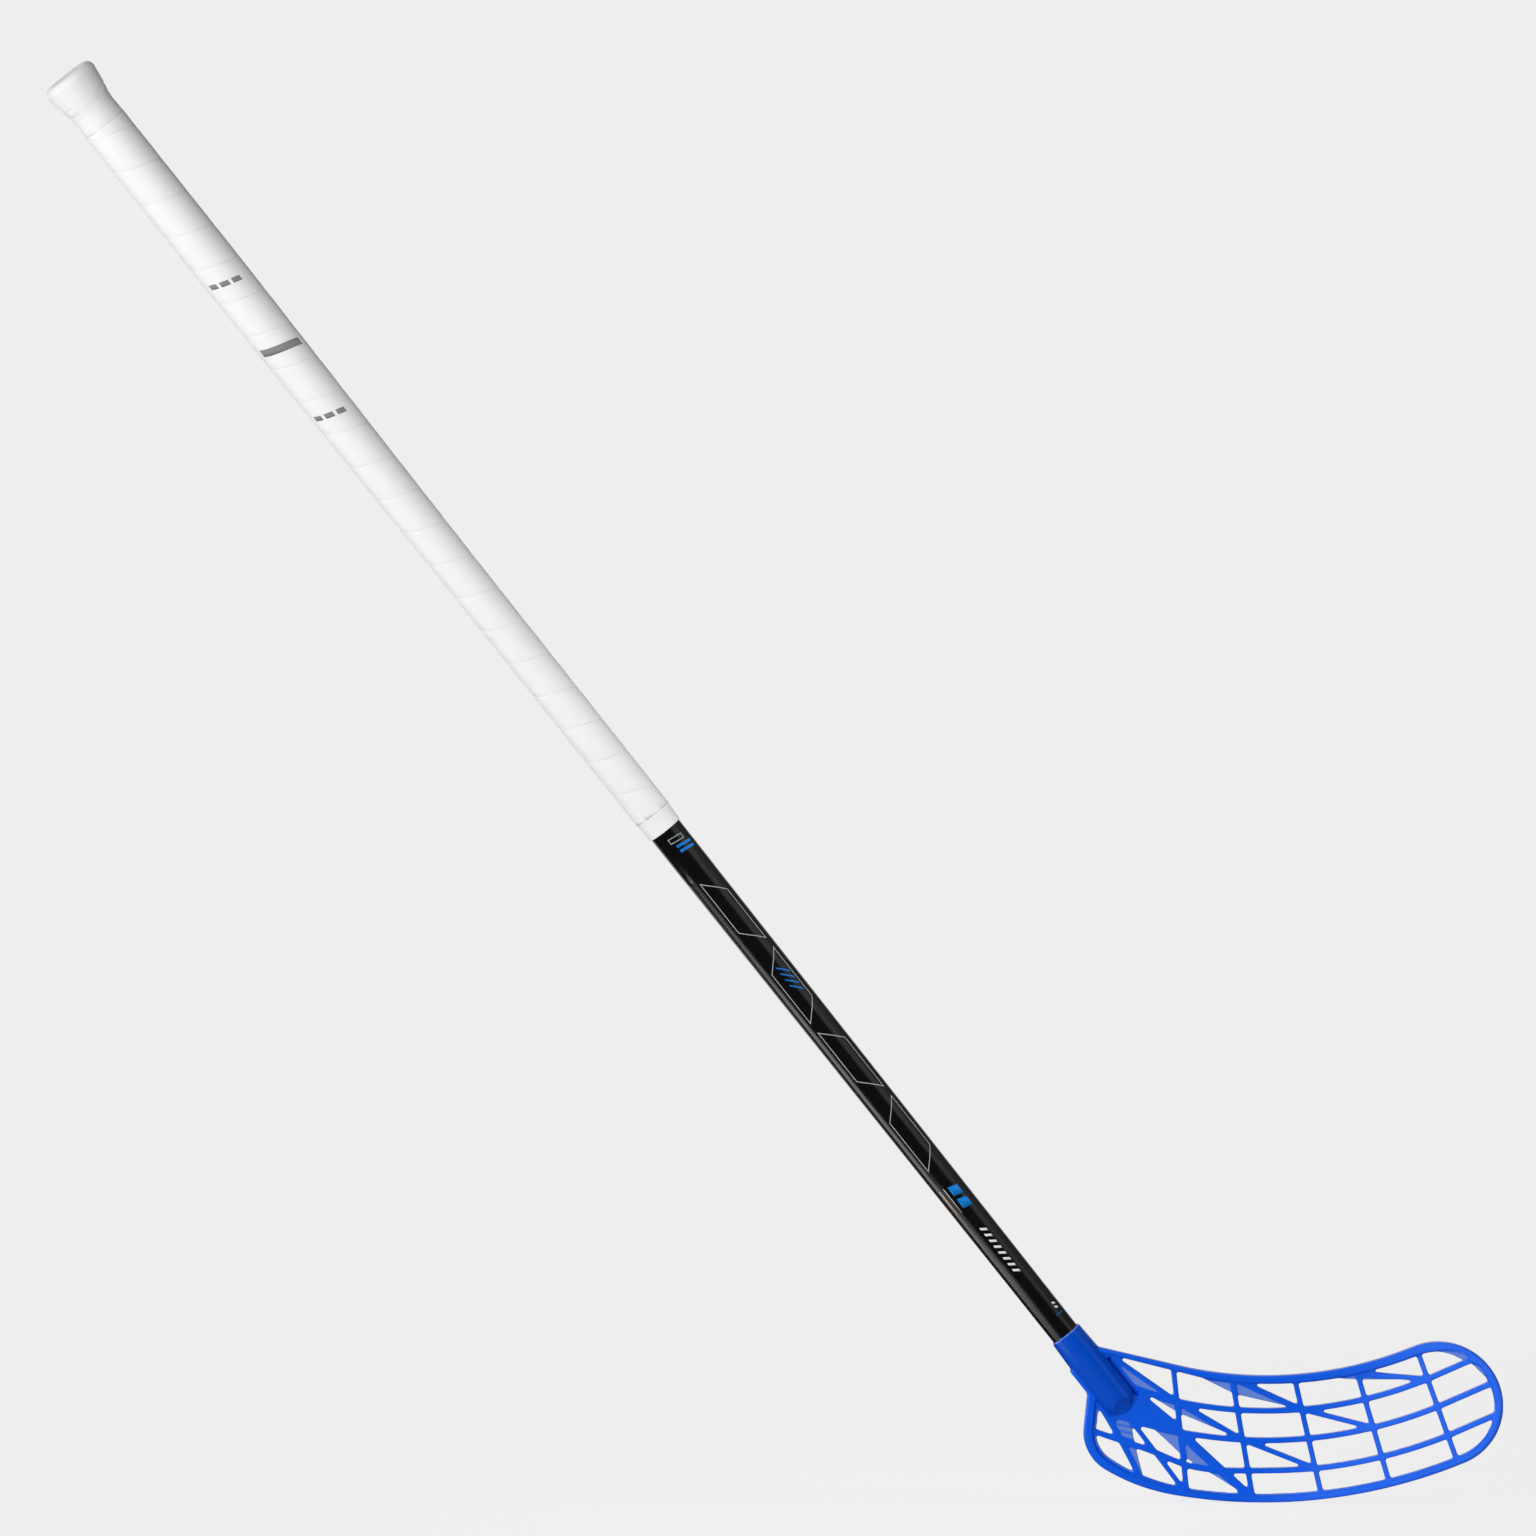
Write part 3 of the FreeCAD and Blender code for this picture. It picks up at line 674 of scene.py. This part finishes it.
@dataclass
class GripWinding:
    """Soft band wound down the tube, its turns edge to edge."""

    start: float = 0.037
    end: float = 0.56495
    turns: int = 21
    gap: float = 0.00005
    thickness: float = 0.0013
    seam: float = 0.00004
    edge_round: float = 0.00022
    edge_steps: int = 4
    crown: float = 0.0001
    steps_per_turn: int = 64
    crown_points: int = 5

    def build(self) -> None:
        """Sweep the band's section along the screw, lay it on the taper and cut its ends."""
        pitch = (self.end + self.gap - self.start) / self.turns
        reference = taper.radius(0.0) + self.gap
        upper = self.start - pitch
        lower = self.start - self.seam
        bm = drawn_profile([(reference, upper), (reference + self.thickness, upper),
                            (reference + self.thickness, lower), (reference, lower)], True)
        bm.verts.ensure_lookup_table()
        round_corners(bm, [bm.verts[1], bm.verts[2]], self.edge_round, self.edge_steps)
        wide = max(bm.edges, key=lambda edge: (sum(vert.co.x for vert in edge.verts), edge.calc_length()))
        cut = bmesh.ops.subdivide_edges(bm, edges=[wide], cuts=self.crown_points)
        middle = (upper + lower) / 2
        for vert in cut["geom_inner"]:
            if isinstance(vert, bmesh.types.BMVert):
                share = 2 * (vert.co.z - middle) / pitch
                vert.co.x += self.crown * (1 - share ** 2)
        section = bmesh.ops.contextual_create(bm, geom=list(bm.edges))["faces"]
        turns = self.turns + 1
        bmesh.ops.spin(bm, geom=list(bm.verts) + list(bm.edges) + section, cent=(0, 0, 0), axis=(0, 0, 1),
                       dvec=(0, 0, pitch / self.steps_per_turn), angle=-2 * math.pi * turns,
                       steps=turns * self.steps_per_turn, use_merge=False)
        close_up(bm)
        for station, way in ((self.start, -1.0), (self.end, 1.0)):
            self.trim(bm, station, way)
        for vert in bm.verts:
            radius = math.hypot(vert.co.x, vert.co.y)
            vert.co.xy *= (radius - reference + taper.radius(vert.co.z) + self.gap) / radius
        close_up(bm)
        bmesh.ops.rotate(bm, verts=bm.verts, cent=(0, 0, 0), matrix=Matrix.Rotation(math.pi, 3, "Z"))
        bm.transform(line.matrix())
        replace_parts(add_piece("grip_band", bm, GRIP_WHITE), "grip_wrap")

    def trim(self, bm: bmesh.types.BMesh, station: float, way: float) -> None:
        """Cut the band square at a station and close the cut.

        Args:
            bm: The wound band.
            station: Where the cut is.
            way: Side that falls away, as a sign along the shaft.
        """
        geometry = list(bm.verts) + list(bm.edges) + list(bm.faces)
        cut = bmesh.ops.bisect_plane(bm, geom=geometry, dist=MERGE_DISTANCE, plane_co=(0, 0, station),
                                     plane_no=(0, 0, way), clear_outer=True)
        edges = [item for item in cut["geom_cut"] if isinstance(item, bmesh.types.BMEdge)]
        bmesh.ops.holes_fill(bm, edges=edges)


@dataclass
class EndTape:
    """Short ribbed tape that holds the end of the winding."""

    start: float = 0.565
    end: float = 0.577
    gap: float = 0.00005
    thickness: float = 0.0011
    ribs: int = 6
    rib_height: float = 0.00012
    points_per_rib: int = 8
    segments: int = 96

    def build(self) -> None:
        """Spin the tape with rounded ribs that thin out towards its end."""
        inner = [taper.radius(station) + self.gap for station in (self.start, self.end)]
        bm = drawn_profile([(inner[0], self.start), (inner[0] + self.thickness, self.start),
                            (inner[1] + self.thickness / 2, self.end), (inner[1], self.end)], True)
        bm.verts.ensure_lookup_table()
        outside = bm.edges.get((bm.verts[1], bm.verts[2]))
        cut = bmesh.ops.subdivide_edges(bm, edges=[outside], cuts=self.ribs * self.points_per_rib - 1)
        for vert in cut["geom_inner"]:
            if isinstance(vert, bmesh.types.BMVert):
                share = (vert.co.z - self.start) / (self.end - self.start)
                vert.co.x += self.rib_height * abs(math.sin(math.pi * self.ribs * share))
        spin_round(bm, self.segments)
        bm.transform(line.matrix())
        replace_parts(add_piece("ribbed_tape", bm, TAPE_WHITE), "grip_end_tape")


@dataclass(frozen=True)
class WebEdge:
    """One point of a web's upper edge.

    Attributes:
        along: How far along the blade it is.
        height: How high it is.
        reach: How far down the rim is pressed.
        spread: How far the web spreads below the rim.
    """

    along: float
    height: float
    reach: float
    spread: float


@dataclass
class Blade:
    """Moulded blade with rounded edges and thin webs painted paler, as painted light coming through them."""

    weld: float = 2e-6
    voxel: float = 0.00062
    smooth_rounds: int = 5
    most_triangles: int = 185000
    thin_wall: float = 0.0016
    thick_wall: float = 0.0021
    skin: float = 0.00002
    flat_share: float = 0.35
    mouth: float = 0.965
    tube_foot: float = 1.019
    tube_fade: float = 0.004
    socket_radius: float = 0.0112
    toe_webs: tuple[tuple[WebEdge, ...], ...] = (
        (WebEdge(0.8227, -0.7632, 0.0030, 0.0), WebEdge(0.8274, -0.7627, 0.0030, 0.0005),
         WebEdge(0.8333, -0.7625, 0.0036, 0.0011), WebEdge(0.8374, -0.7638, 0.0050, 0.0012),
         WebEdge(0.8416, -0.7659, 0.0012, 0.0004)),
        (WebEdge(0.8441, -0.7707, 0.0012, 0.0), WebEdge(0.8475, -0.7712, 0.0040, 0.0010),
         WebEdge(0.8499, -0.7748, 0.0025, 0.0007), WebEdge(0.8516, -0.7778, 0.0008, 0.0)))
    toe_web: float = 0.0014
    toe_setback: float = 0.0028
    toe_fade: float = 0.0006
    toe_along: float = 0.8274
    toe_front: float = -0.0228
    toe_hook: float = -0.242
    rim_depth: float = 0.0101
    finish: MouldedFinish = BLADE_BLUE

    def build(self) -> None:
        """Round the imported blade's edges and mark its thin walls."""
        mesh = self.softened()
        self.press_toe(mesh)
        self.mark_walls(mesh)
        mesh.shade_smooth()
        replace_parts(add_mesh("moulded_blade", mesh, self.finish), "blade")

    def softened(self) -> bpy.types.Mesh:
        """Blade with the rounded edges of a moulding.

        Returns:
            A new mesh in the frame.
        """
        bm = bmesh.new()
        bm.from_mesh(frame["nodes"]["blade"].data)
        bmesh.ops.remove_doubles(bm, verts=bm.verts, dist=self.weld)
        rough = bpy.data.objects.new("blade_rough", bpy.data.meshes.new("blade_rough"))
        bm.to_mesh(rough.data)
        bm.free()
        bpy.context.scene.collection.objects.link(rough)
        skin = rough.modifiers.new("skin", "REMESH")
        skin.mode = "VOXEL"
        skin.voxel_size = self.voxel
        soften = rough.modifiers.new("soften", "SMOOTH")
        soften.iterations = self.smooth_rounds
        mesh = self.finished(rough)
        triangles = 2 * len(mesh.polygons)
        if triangles > self.most_triangles:
            thin = rough.modifiers.new("thin", "DECIMATE")
            thin.ratio = self.most_triangles / triangles
            bpy.data.meshes.remove(mesh)
            mesh = self.finished(rough)
        bpy.data.objects.remove(rough)
        return mesh

    def finished(self, rough: bpy.types.Object) -> bpy.types.Mesh:
        """Mesh of an object after its modifiers."""
        return bpy.data.meshes.new_from_object(rough.evaluated_get(bpy.context.evaluated_depsgraph_get()))

    def press_toe(self, mesh: bpy.types.Mesh) -> None:
        """Press the inner edge of the toe's rim to thin webs.

        Args:
            mesh: The blade's mesh.
        """
        for vert in mesh.vertices:
            share, spread = max(self.web_share(vert.co, edges) for edges in self.toe_webs)
            if share > 0.0:
                front = self.toe_front + self.toe_hook * (vert.co.x - self.toe_along)
                depth = held((vert.co.y - front) / self.rim_depth)
                pressed = front + self.toe_setback + self.toe_web * depth
                vert.co.y += (pressed - vert.co.y) * share
                vert.co.z -= spread * share
        mesh.update()

    def web_share(self, place: Vector, edges: tuple[WebEdge, ...]) -> tuple[float, float]:
        """How far a place is in a web of the toe.

        Args:
            place: Place on the blade.
            edges: Upper edge of the web, from left to right.

        Returns:
            Value from 0 on the rim to 1 on the web, and how far the web spreads there.
        """
        for left, right in zip(edges, edges[1:]):
            if left.along <= place.x <= right.along:
                share = (place.x - left.along) / (right.along - left.along)
                drop = between(left.height, right.height, share) - place.z
                if drop < between(left.reach, right.reach, share):
                    return held(drop / self.toe_fade), between(left.spread, right.spread, share)
        return 0.0, 0.0

    def mark_walls(self, mesh: bpy.types.Mesh) -> None:
        """Write how thin the wall is behind each point, which masks the painted light through thin walls,
        and which walls have the tube behind them.

        Args:
            mesh: The blade's mesh.
        """
        bm = bmesh.new()
        bm.from_mesh(mesh)
        tree = BVHTree.FromBMesh(bm)
        thin = []
        backed = []
        for vert in bm.verts:
            over = self.over_tube(vert.co)
            inwards = -vert.normal
            if abs(inwards.y) > self.flat_share:
                inwards = Vector((0.0, math.copysign(1.0, inwards.y), 0.0))
            depth = tree.ray_cast(vert.co + inwards * self.skin, inwards, self.thick_wall)[3]
            wall = self.thick_wall if depth is None or over > 0.0 else depth
            share = (self.thick_wall - wall) / (self.thick_wall - self.thin_wall)
            thin.append(held(share))
            backed.append(over)
        bm.free()
        for name, values in ((self.finish.thin_mark, thin), (self.finish.backed_mark, backed)):
            mesh.attributes.new(name, "FLOAT", "POINT").data.foreach_set("value", values)

    def over_tube(self, place: Vector) -> float:
        """How far a place on the socket has the tube behind it.

        Args:
            place: Place on the blade.

        Returns:
            Value from 0 to 1.
        """
        station = place.dot(line.down)
        aside = (place - line.down * station).length
        if aside > self.socket_radius or station < self.mouth:
            return 0.0
        return held((self.tube_foot + self.tube_fade - station) / self.tube_fade)


@dataclass(frozen=True)
class Mark:
    """One printed mark, flat before it is laid round the shaft.

    Attributes:
        station: Station of its middle.
        aside: How far its middle is to the right of the front line.
        length: Size along the shaft.
        width: Size round the shaft.
        slant: How far its right side is shifted down the shaft.
        stroke: Width of its outline, or 0 for a filled mark.
    """

    station: float
    aside: float
    length: float
    width: float
    slant: float = 0.0
    stroke: float = 0.0

    def draw(self, bm: bmesh.types.BMesh) -> None:
        """Add the mark's flat faces to a mesh.

        Args:
            bm: Mesh with x round the shaft and z along it.
        """
        corners = []
        for right, low in ((-0.5, -0.5), (0.5, -0.5), (0.5, 0.5), (-0.5, 0.5)):
            across = self.aside + right * self.width
            along = self.station + low * self.length + right * self.slant
            corners.append(bm.verts.new((across, 0.0, along)))
        face = bm.faces.new(corners)
        if self.stroke:
            face.normal_update()
            bmesh.ops.inset_region(bm, faces=[face], thickness=self.stroke, use_boundary=True,
                                   use_even_offset=True)
            bmesh.ops.delete(bm, geom=[face], context="FACES_ONLY")


@dataclass
class Print:
    """Thin film of ink that follows the round of what it is printed on."""

    name: str
    marks: list[Mark]
    finish: Finish
    slot: Slot
    lift: float
    film: float = 0.00003
    facet: float = 0.001

    def build(self) -> None:
        """Draw the marks flat, give them their film and lay them round the shaft."""
        bm = bmesh.new()
        for mark in self.marks:
            mark.draw(bm)
        reach = max(abs(vert.co.x) for vert in bm.verts)
        count = math.ceil(reach / self.facet)
        for i in range(-count, count + 1):
            geometry = list(bm.verts) + list(bm.edges) + list(bm.faces)
            bmesh.ops.bisect_plane(bm, geom=geometry, dist=MERGE_DISTANCE, plane_co=(i * self.facet, 0, 0),
                                   plane_no=(1, 0, 0))
        raised = bmesh.ops.extrude_face_region(bm, geom=list(bm.faces), use_keep_orig=True)
        top = [item for item in raised["geom"] if isinstance(item, bmesh.types.BMVert)]
        bmesh.ops.translate(bm, verts=top, vec=(0, self.film, 0))
        close_up(bm)
        for vert in bm.verts:
            radius = taper.radius(vert.co.z) + self.lift
            angle = math.pi / 2 - vert.co.x / radius
            radius += vert.co.y
            vert.co.x = radius * math.cos(angle)
            vert.co.y = radius * math.sin(angle)
        bmesh.ops.recalc_face_normals(bm, faces=bm.faces)
        bm.transform(line.matrix())
        add_piece(self.name, bm, self.finish)


def shaft_prints() -> list[Print]:
    """Plain bars, frames and pinstripes on the tube.

    Returns:
        The prints, one for each ink.
    """
    stroke = 0.0005
    frames = [Mark(0.640 + 0.057 * i, 0.002, length=0.038, width=0.0125, slant=slant, stroke=stroke)
              for i, slant in enumerate((0.013, -0.013, 0.013, -0.013))]
    hairlines = [Mark(0.8585, -0.0035, length=0.018, width=0.0006),
                 Mark(0.5845, 0.002, length=0.0036, width=0.0095, slant=0.0014, stroke=stroke)]
    warm = [Mark(0.8585, -0.0068, length=0.018, width=0.0007)]
    bars = [Mark(0.8545 + 0.009 * i, 0.0022, length=0.0066, width=0.0062, slant=0.0018) for i in range(2)]
    hatch = [Mark(0.686 + 0.0045 * i, 0.0035, length=0.0012, width=0.006, slant=0.0066) for i in range(4)]
    upper = [Mark(0.5895 + 0.0034 * i, 0.0045, length=0.0019, width=0.0105, slant=0.0016) for i in range(2)]
    dashes = [Mark(0.8835 + 0.0045 * i, 0.0008, length=0.0018, width=0.0036, slant=0.0026) for i in range(8)]
    foot = [Mark(0.9445 + 0.003 * i, 0.0066, length=0.0016, width=0.0022, slant=0.0008) for i in range(2)]
    ring = [Mark(0.9515, 0.0055, length=0.0005, width=0.0055)]
    lift = 0.00003
    return [Print("shaft_frames", frames + hairlines, SILVER_INK, Slot.SHAFT, lift),
            Print("shaft_pinstripe", warm, WARM_INK, Slot.SHAFT, lift),
            Print("shaft_bars", bars + hatch + upper + ring, BLUE_INK, Slot.SHAFT, lift),
            Print("shaft_dashes", dashes + foot, WHITE_INK, Slot.SHAFT, lift)]


def grip_prints() -> list[Print]:
    """Grey bars on three turns of the grip, along the winding.

    Returns:
        The prints, all in one ink.
    """
    climb = 0.288
    lift = 0.00148
    long_bar = 0.027
    short_bar = 0.0055
    marks = [Mark(0.2067, -0.0005, length=0.0050, width=long_bar, slant=climb * long_bar)]
    for station in (0.1564, 0.2570):
        for aside in (-0.0105, -0.0030, 0.0045):
            place = station + climb * aside
            marks.append(Mark(place, aside, length=0.0034, width=short_bar, slant=climb * short_bar))
    return [Print("grip_bars", marks, GREY_INK, Slot.GRIP, lift)]


@dataclass(frozen=True)
class Softbox:
    """Square lamp of the studio, which lights the matt surfaces and is mirrored by none.

    Attributes:
        name: Name of the lamp.
        place: Where it stands.
        size: Width and height.
        watts: Its power.
        aim: Point that it faces.
    """

    name: str
    place: Vector
    size: tuple[float, float]
    watts: float
    aim: Vector

    def build(self) -> None:
        """Set the lamp up, facing its aim."""
        data = bpy.data.lights.new(self.name, "AREA")
        data.shape = "RECTANGLE"
        data.size, data.size_y = self.size
        data.energy = self.watts
        lamp = bpy.data.objects.new(self.name, data)
        lamp.location = self.place
        lamp.rotation_euler = (self.aim - self.place).to_track_quat("-Z", "Y").to_euler()
        lamp.visible_camera = False
        lamp.visible_glossy = False
        bpy.context.scene.collection.objects.link(lamp)


@dataclass(frozen=True)
class Card:
    """Card that only glossy surfaces mirror: dark ones keep them dark, bright ones give them a sheen.

    Attributes:
        name: Name of the card.
        middle: Where its middle is.
        side: Its first side.
        other: Its second side.
        grey: How bright it looks, from 0 for black.
    """

    name: str
    middle: Vector
    side: Vector
    other: Vector
    grey: float = 0.0

    def build(self) -> bpy.types.Object:
        """Cut the card.

        Returns:
            The card, in place.
        """
        axes = Matrix((self.side, self.other, self.side.cross(self.other))).transposed().to_4x4()
        bm = bmesh.new()
        bmesh.ops.create_grid(bm, x_segments=1, y_segments=1, size=0.5,
                              matrix=Matrix.Translation(self.middle) @ axes)
        mesh = bpy.data.meshes.new(self.name)
        bm.to_mesh(mesh)
        bm.free()
        material = bpy.data.materials.new(self.name)
        material.use_nodes = True
        material.cycles.emission_sampling = "NONE"
        graph = Graph(material.node_tree)
        bounces = graph.node("LightPath").outputs["Diffuse Depth"]
        direct = graph.math("LESS_THAN", bounces, 0.5)
        level = graph.math("MULTIPLY", direct, self.grey)
        shade = graph.node("Emission", {"Color": rgba(WHITE), "Strength": level})
        graph.node("OutputMaterial", {"Surface": shade.outputs[0]})
        mesh.materials.append(material)
        card = bpy.data.objects.new(self.name, mesh)
        card.visible_camera = False
        card.visible_diffuse = False
        card.visible_transmission = False
        card.visible_shadow = False
        return card


@dataclass
class Studio:
    """Pale floor and surround, soft lamps, cards to be mirrored and the camera."""

    pale: float = 0.855
    ambient: float = 0.11
    floor_radius: float = 6.0
    floor_sides: int = 64
    card_lift: float = 0.0005
    shadow_share: float = 0.16
    shadow_near: float = 0.7
    shadow_far: float = 1.6
    floor_light: float = 0.4
    azimuth: float = -3.0
    elevation: float = 4.2
    roll: float = 0.18
    distance: float = 20.0
    farthest: float = 100.0
    view_width: float = 0.9190
    view_middle: tuple[float, float, float] = (0.42079, 0.0, -0.41463)

    def build(self) -> None:
        """Set up everything that is not the stick."""
        bpy.context.scene.view_settings.view_transform = "Standard"
        target = Vector(self.view_middle)
        self.surround()
        self.floor()
        for card in self.cards():
            self.stand(card.build())
        for softbox in self.lamps(target):
            softbox.build()
        self.camera(target)

    def cards(self) -> list[Card]:
        """Dark cards round the lacquer, the blade and the floor, and bright strips beside them.

        Returns:
            The cards, not yet cut.
        """
        along = Vector((1.0, 0.0, 0.0))
        deep = Vector((0.0, 1.0, 0.0))
        upright = Vector((0.0, 0.0, 1.0))
        down = line.down
        viewer = line.viewer
        ground = Vector((0.35, 0.0, cad_box[0].z + self.card_lift))
        return [
            Card("shaft_card", line.point(0.715, -0.1185, 0.09), line.across * 0.363, down * 0.63),
            Card("right_card", line.point(0.77, 0.10, 0.005), viewer * 0.05, down * 0.42, grey=0.36),
            Card("edge_card", line.point(0.77, 0.10, -0.085), viewer * 0.13, down * 0.42, grey=0.13),
            Card("socket_card", line.point(1.07, 0.50, -0.20), viewer * 0.75, down * 0.60),
            Card("left_strip", line.point(0.812, -0.15, 0.004), viewer * 0.076, down * 0.305, grey=3.6),
            Card("heel_strip", Vector((0.50, -0.05, -0.79)), Vector((0.02, -0.045, 0.0)), upright * 0.12,
                 grey=3.2),
            Card("blade_card", Vector((0.57, -0.12, -0.756)), along * 0.34, upright * 0.20),
            Card("floor_card", ground, along * 1.4, deep * 0.9)]

    def lamps(self, target: Vector) -> list[Softbox]:
        """Key and fills for the matt surfaces.

        Args:
            target: Point in the middle of the picture.

        Returns:
            The lamps, not yet set up.
        """
        return [
            Softbox("key_softbox", Vector((-3.11, -7.05, 0.98)), size=(1.7, 1.7), watts=400.0, aim=target),
            Softbox("left_fill", Vector((-2.2, -1.2, -0.40)), size=(1.0, 0.8), watts=18.0, aim=target),
            Softbox("butt_fill", Vector((-0.6, -0.08, 0.75)), size=(0.3, 0.3), watts=0.6, aim=Vector()),
            Softbox("right_fill", Vector((0.80, -0.12, -0.30)), size=(0.3, 0.3), watts=1.2, aim=target),
            Softbox("rear_fill", Vector((0.40, 6.5, -0.15)), size=(1.7, 1.2), watts=200.0, aim=target)]

    def background_rays(self, graph: Graph) -> bpy.types.NodeSocket:
        """Value that is 1 for the rays that show the pale surround.

        Args:
            graph: Tree that the nodes go into.

        Returns:
            Socket with the value.
        """
        rays = graph.node("LightPath").outputs
        gloss = graph.math("MAXIMUM", rays["Is Glossy Ray"], rays["Is Transmission Ray"])
        return graph.math("MAXIMUM", rays["Is Camera Ray"], gloss)

    def surround(self) -> None:
        """Pale world that lights the stick a little from all sides."""
        world = bpy.data.worlds.new("studio")
        bpy.context.scene.world = world
        world.use_nodes = True
        graph = Graph(world.node_tree)
        level = graph.spread(self.background_rays(graph), 0.0, 1.0, self.ambient, self.pale)
        shade = graph.node("Background", {"Color": rgba(WHITE), "Strength": level})
        graph.node("OutputWorld", {"Surface": shade.outputs[0]})

    def floor(self) -> None:
        """Pale floor under the sole, which keeps the stick's shadow and melts into the surround."""
        low = cad_box[0].z
        bm = bmesh.new()
        place = Matrix.Translation((self.view_middle[0], 0.0, low))
        bmesh.ops.create_circle(bm, cap_ends=True, radius=self.floor_radius, segments=self.floor_sides,
                                matrix=place)
        mesh = bpy.data.meshes.new("studio_floor")
        bm.to_mesh(mesh)
        bm.free()
        material = bpy.data.materials.new("pale_floor")
        material.use_nodes = True
        graph = Graph(material.node_tree)
        matt = graph.node("BsdfDiffuse", {"Color": rgba((self.pale,) * 3)})
        middle = (-self.view_middle[0], 0.0, -low)
        spot = graph.node("Mapping", {"Vector": graph.object_place(), "Location": middle}).outputs[0]
        reach = graph.node("VectorMath", {0: spot}, operation="LENGTH").outputs["Value"]
        share = graph.spread(reach, self.shadow_near, self.shadow_far, 1.0 - self.shadow_share, 1.0)
        kept = graph.math("MULTIPLY", graph.math("SUBTRACT", 1.0, share), self.floor_light)
        level = graph.math("DIVIDE", graph.math("SUBTRACT", 1.0, kept), share)
        glow = graph.node("Emission", {"Color": rgba((self.pale,) * 3), "Strength": level})
        shown = graph.math("MULTIPLY", share, self.background_rays(graph))
        mixed = graph.node("MixShader", {0: shown, 1: matt.outputs[0], 2: glow.outputs[0]})
        graph.node("OutputMaterial", {"Surface": mixed.outputs[0]})
        mesh.materials.append(material)
        self.stand(bpy.data.objects.new("studio_floor", mesh))

    def stand(self, thing: bpy.types.Object) -> None:
        """Put a thing into the studio.

        Args:
            thing: Object that isn't part of the stick.
        """
        bpy.context.scene.collection.objects.link(thing)

    def camera(self, target: Vector) -> None:
        """Long lens from a little above and to the left.

        Args:
            target: Point in the middle of the picture.
        """
        data = bpy.data.cameras.new("camera")
        data.lens = data.sensor_width * self.distance / self.view_width
        data.clip_end = self.farthest
        camera = bpy.data.objects.new("camera", data)
        turn = math.radians(self.azimuth)
        rise = math.radians(self.elevation)
        back = Vector((math.sin(turn) * math.cos(rise), -math.cos(turn) * math.cos(rise), math.sin(rise)))
        camera.location = target + back * self.distance
        tilt = Quaternion((0.0, 0.0, 1.0), math.radians(self.roll))
        camera.rotation_euler = ((-back).to_track_quat("-Z", "Y") @ tilt).to_euler()
        bpy.context.scene.collection.objects.link(camera)
        bpy.context.scene.camera = camera


def main() -> None:
    """Build the stick's pieces in order, then the studio."""
    logging.basicConfig(level=logging.INFO, format="%(message)s")
    assemblies = [ShaftTube(), ButtKnob(), GripWinding(), EndTape(), Blade()]
    for assembly in assemblies + shaft_prints() + grip_prints():
        assembly.build()
    dress_node("butt_plug", PLUG_WHITE)
    dress_node("blade_screw", SCREW_STEEL)
    Studio().build()


if __name__ == "__main__":
    main()
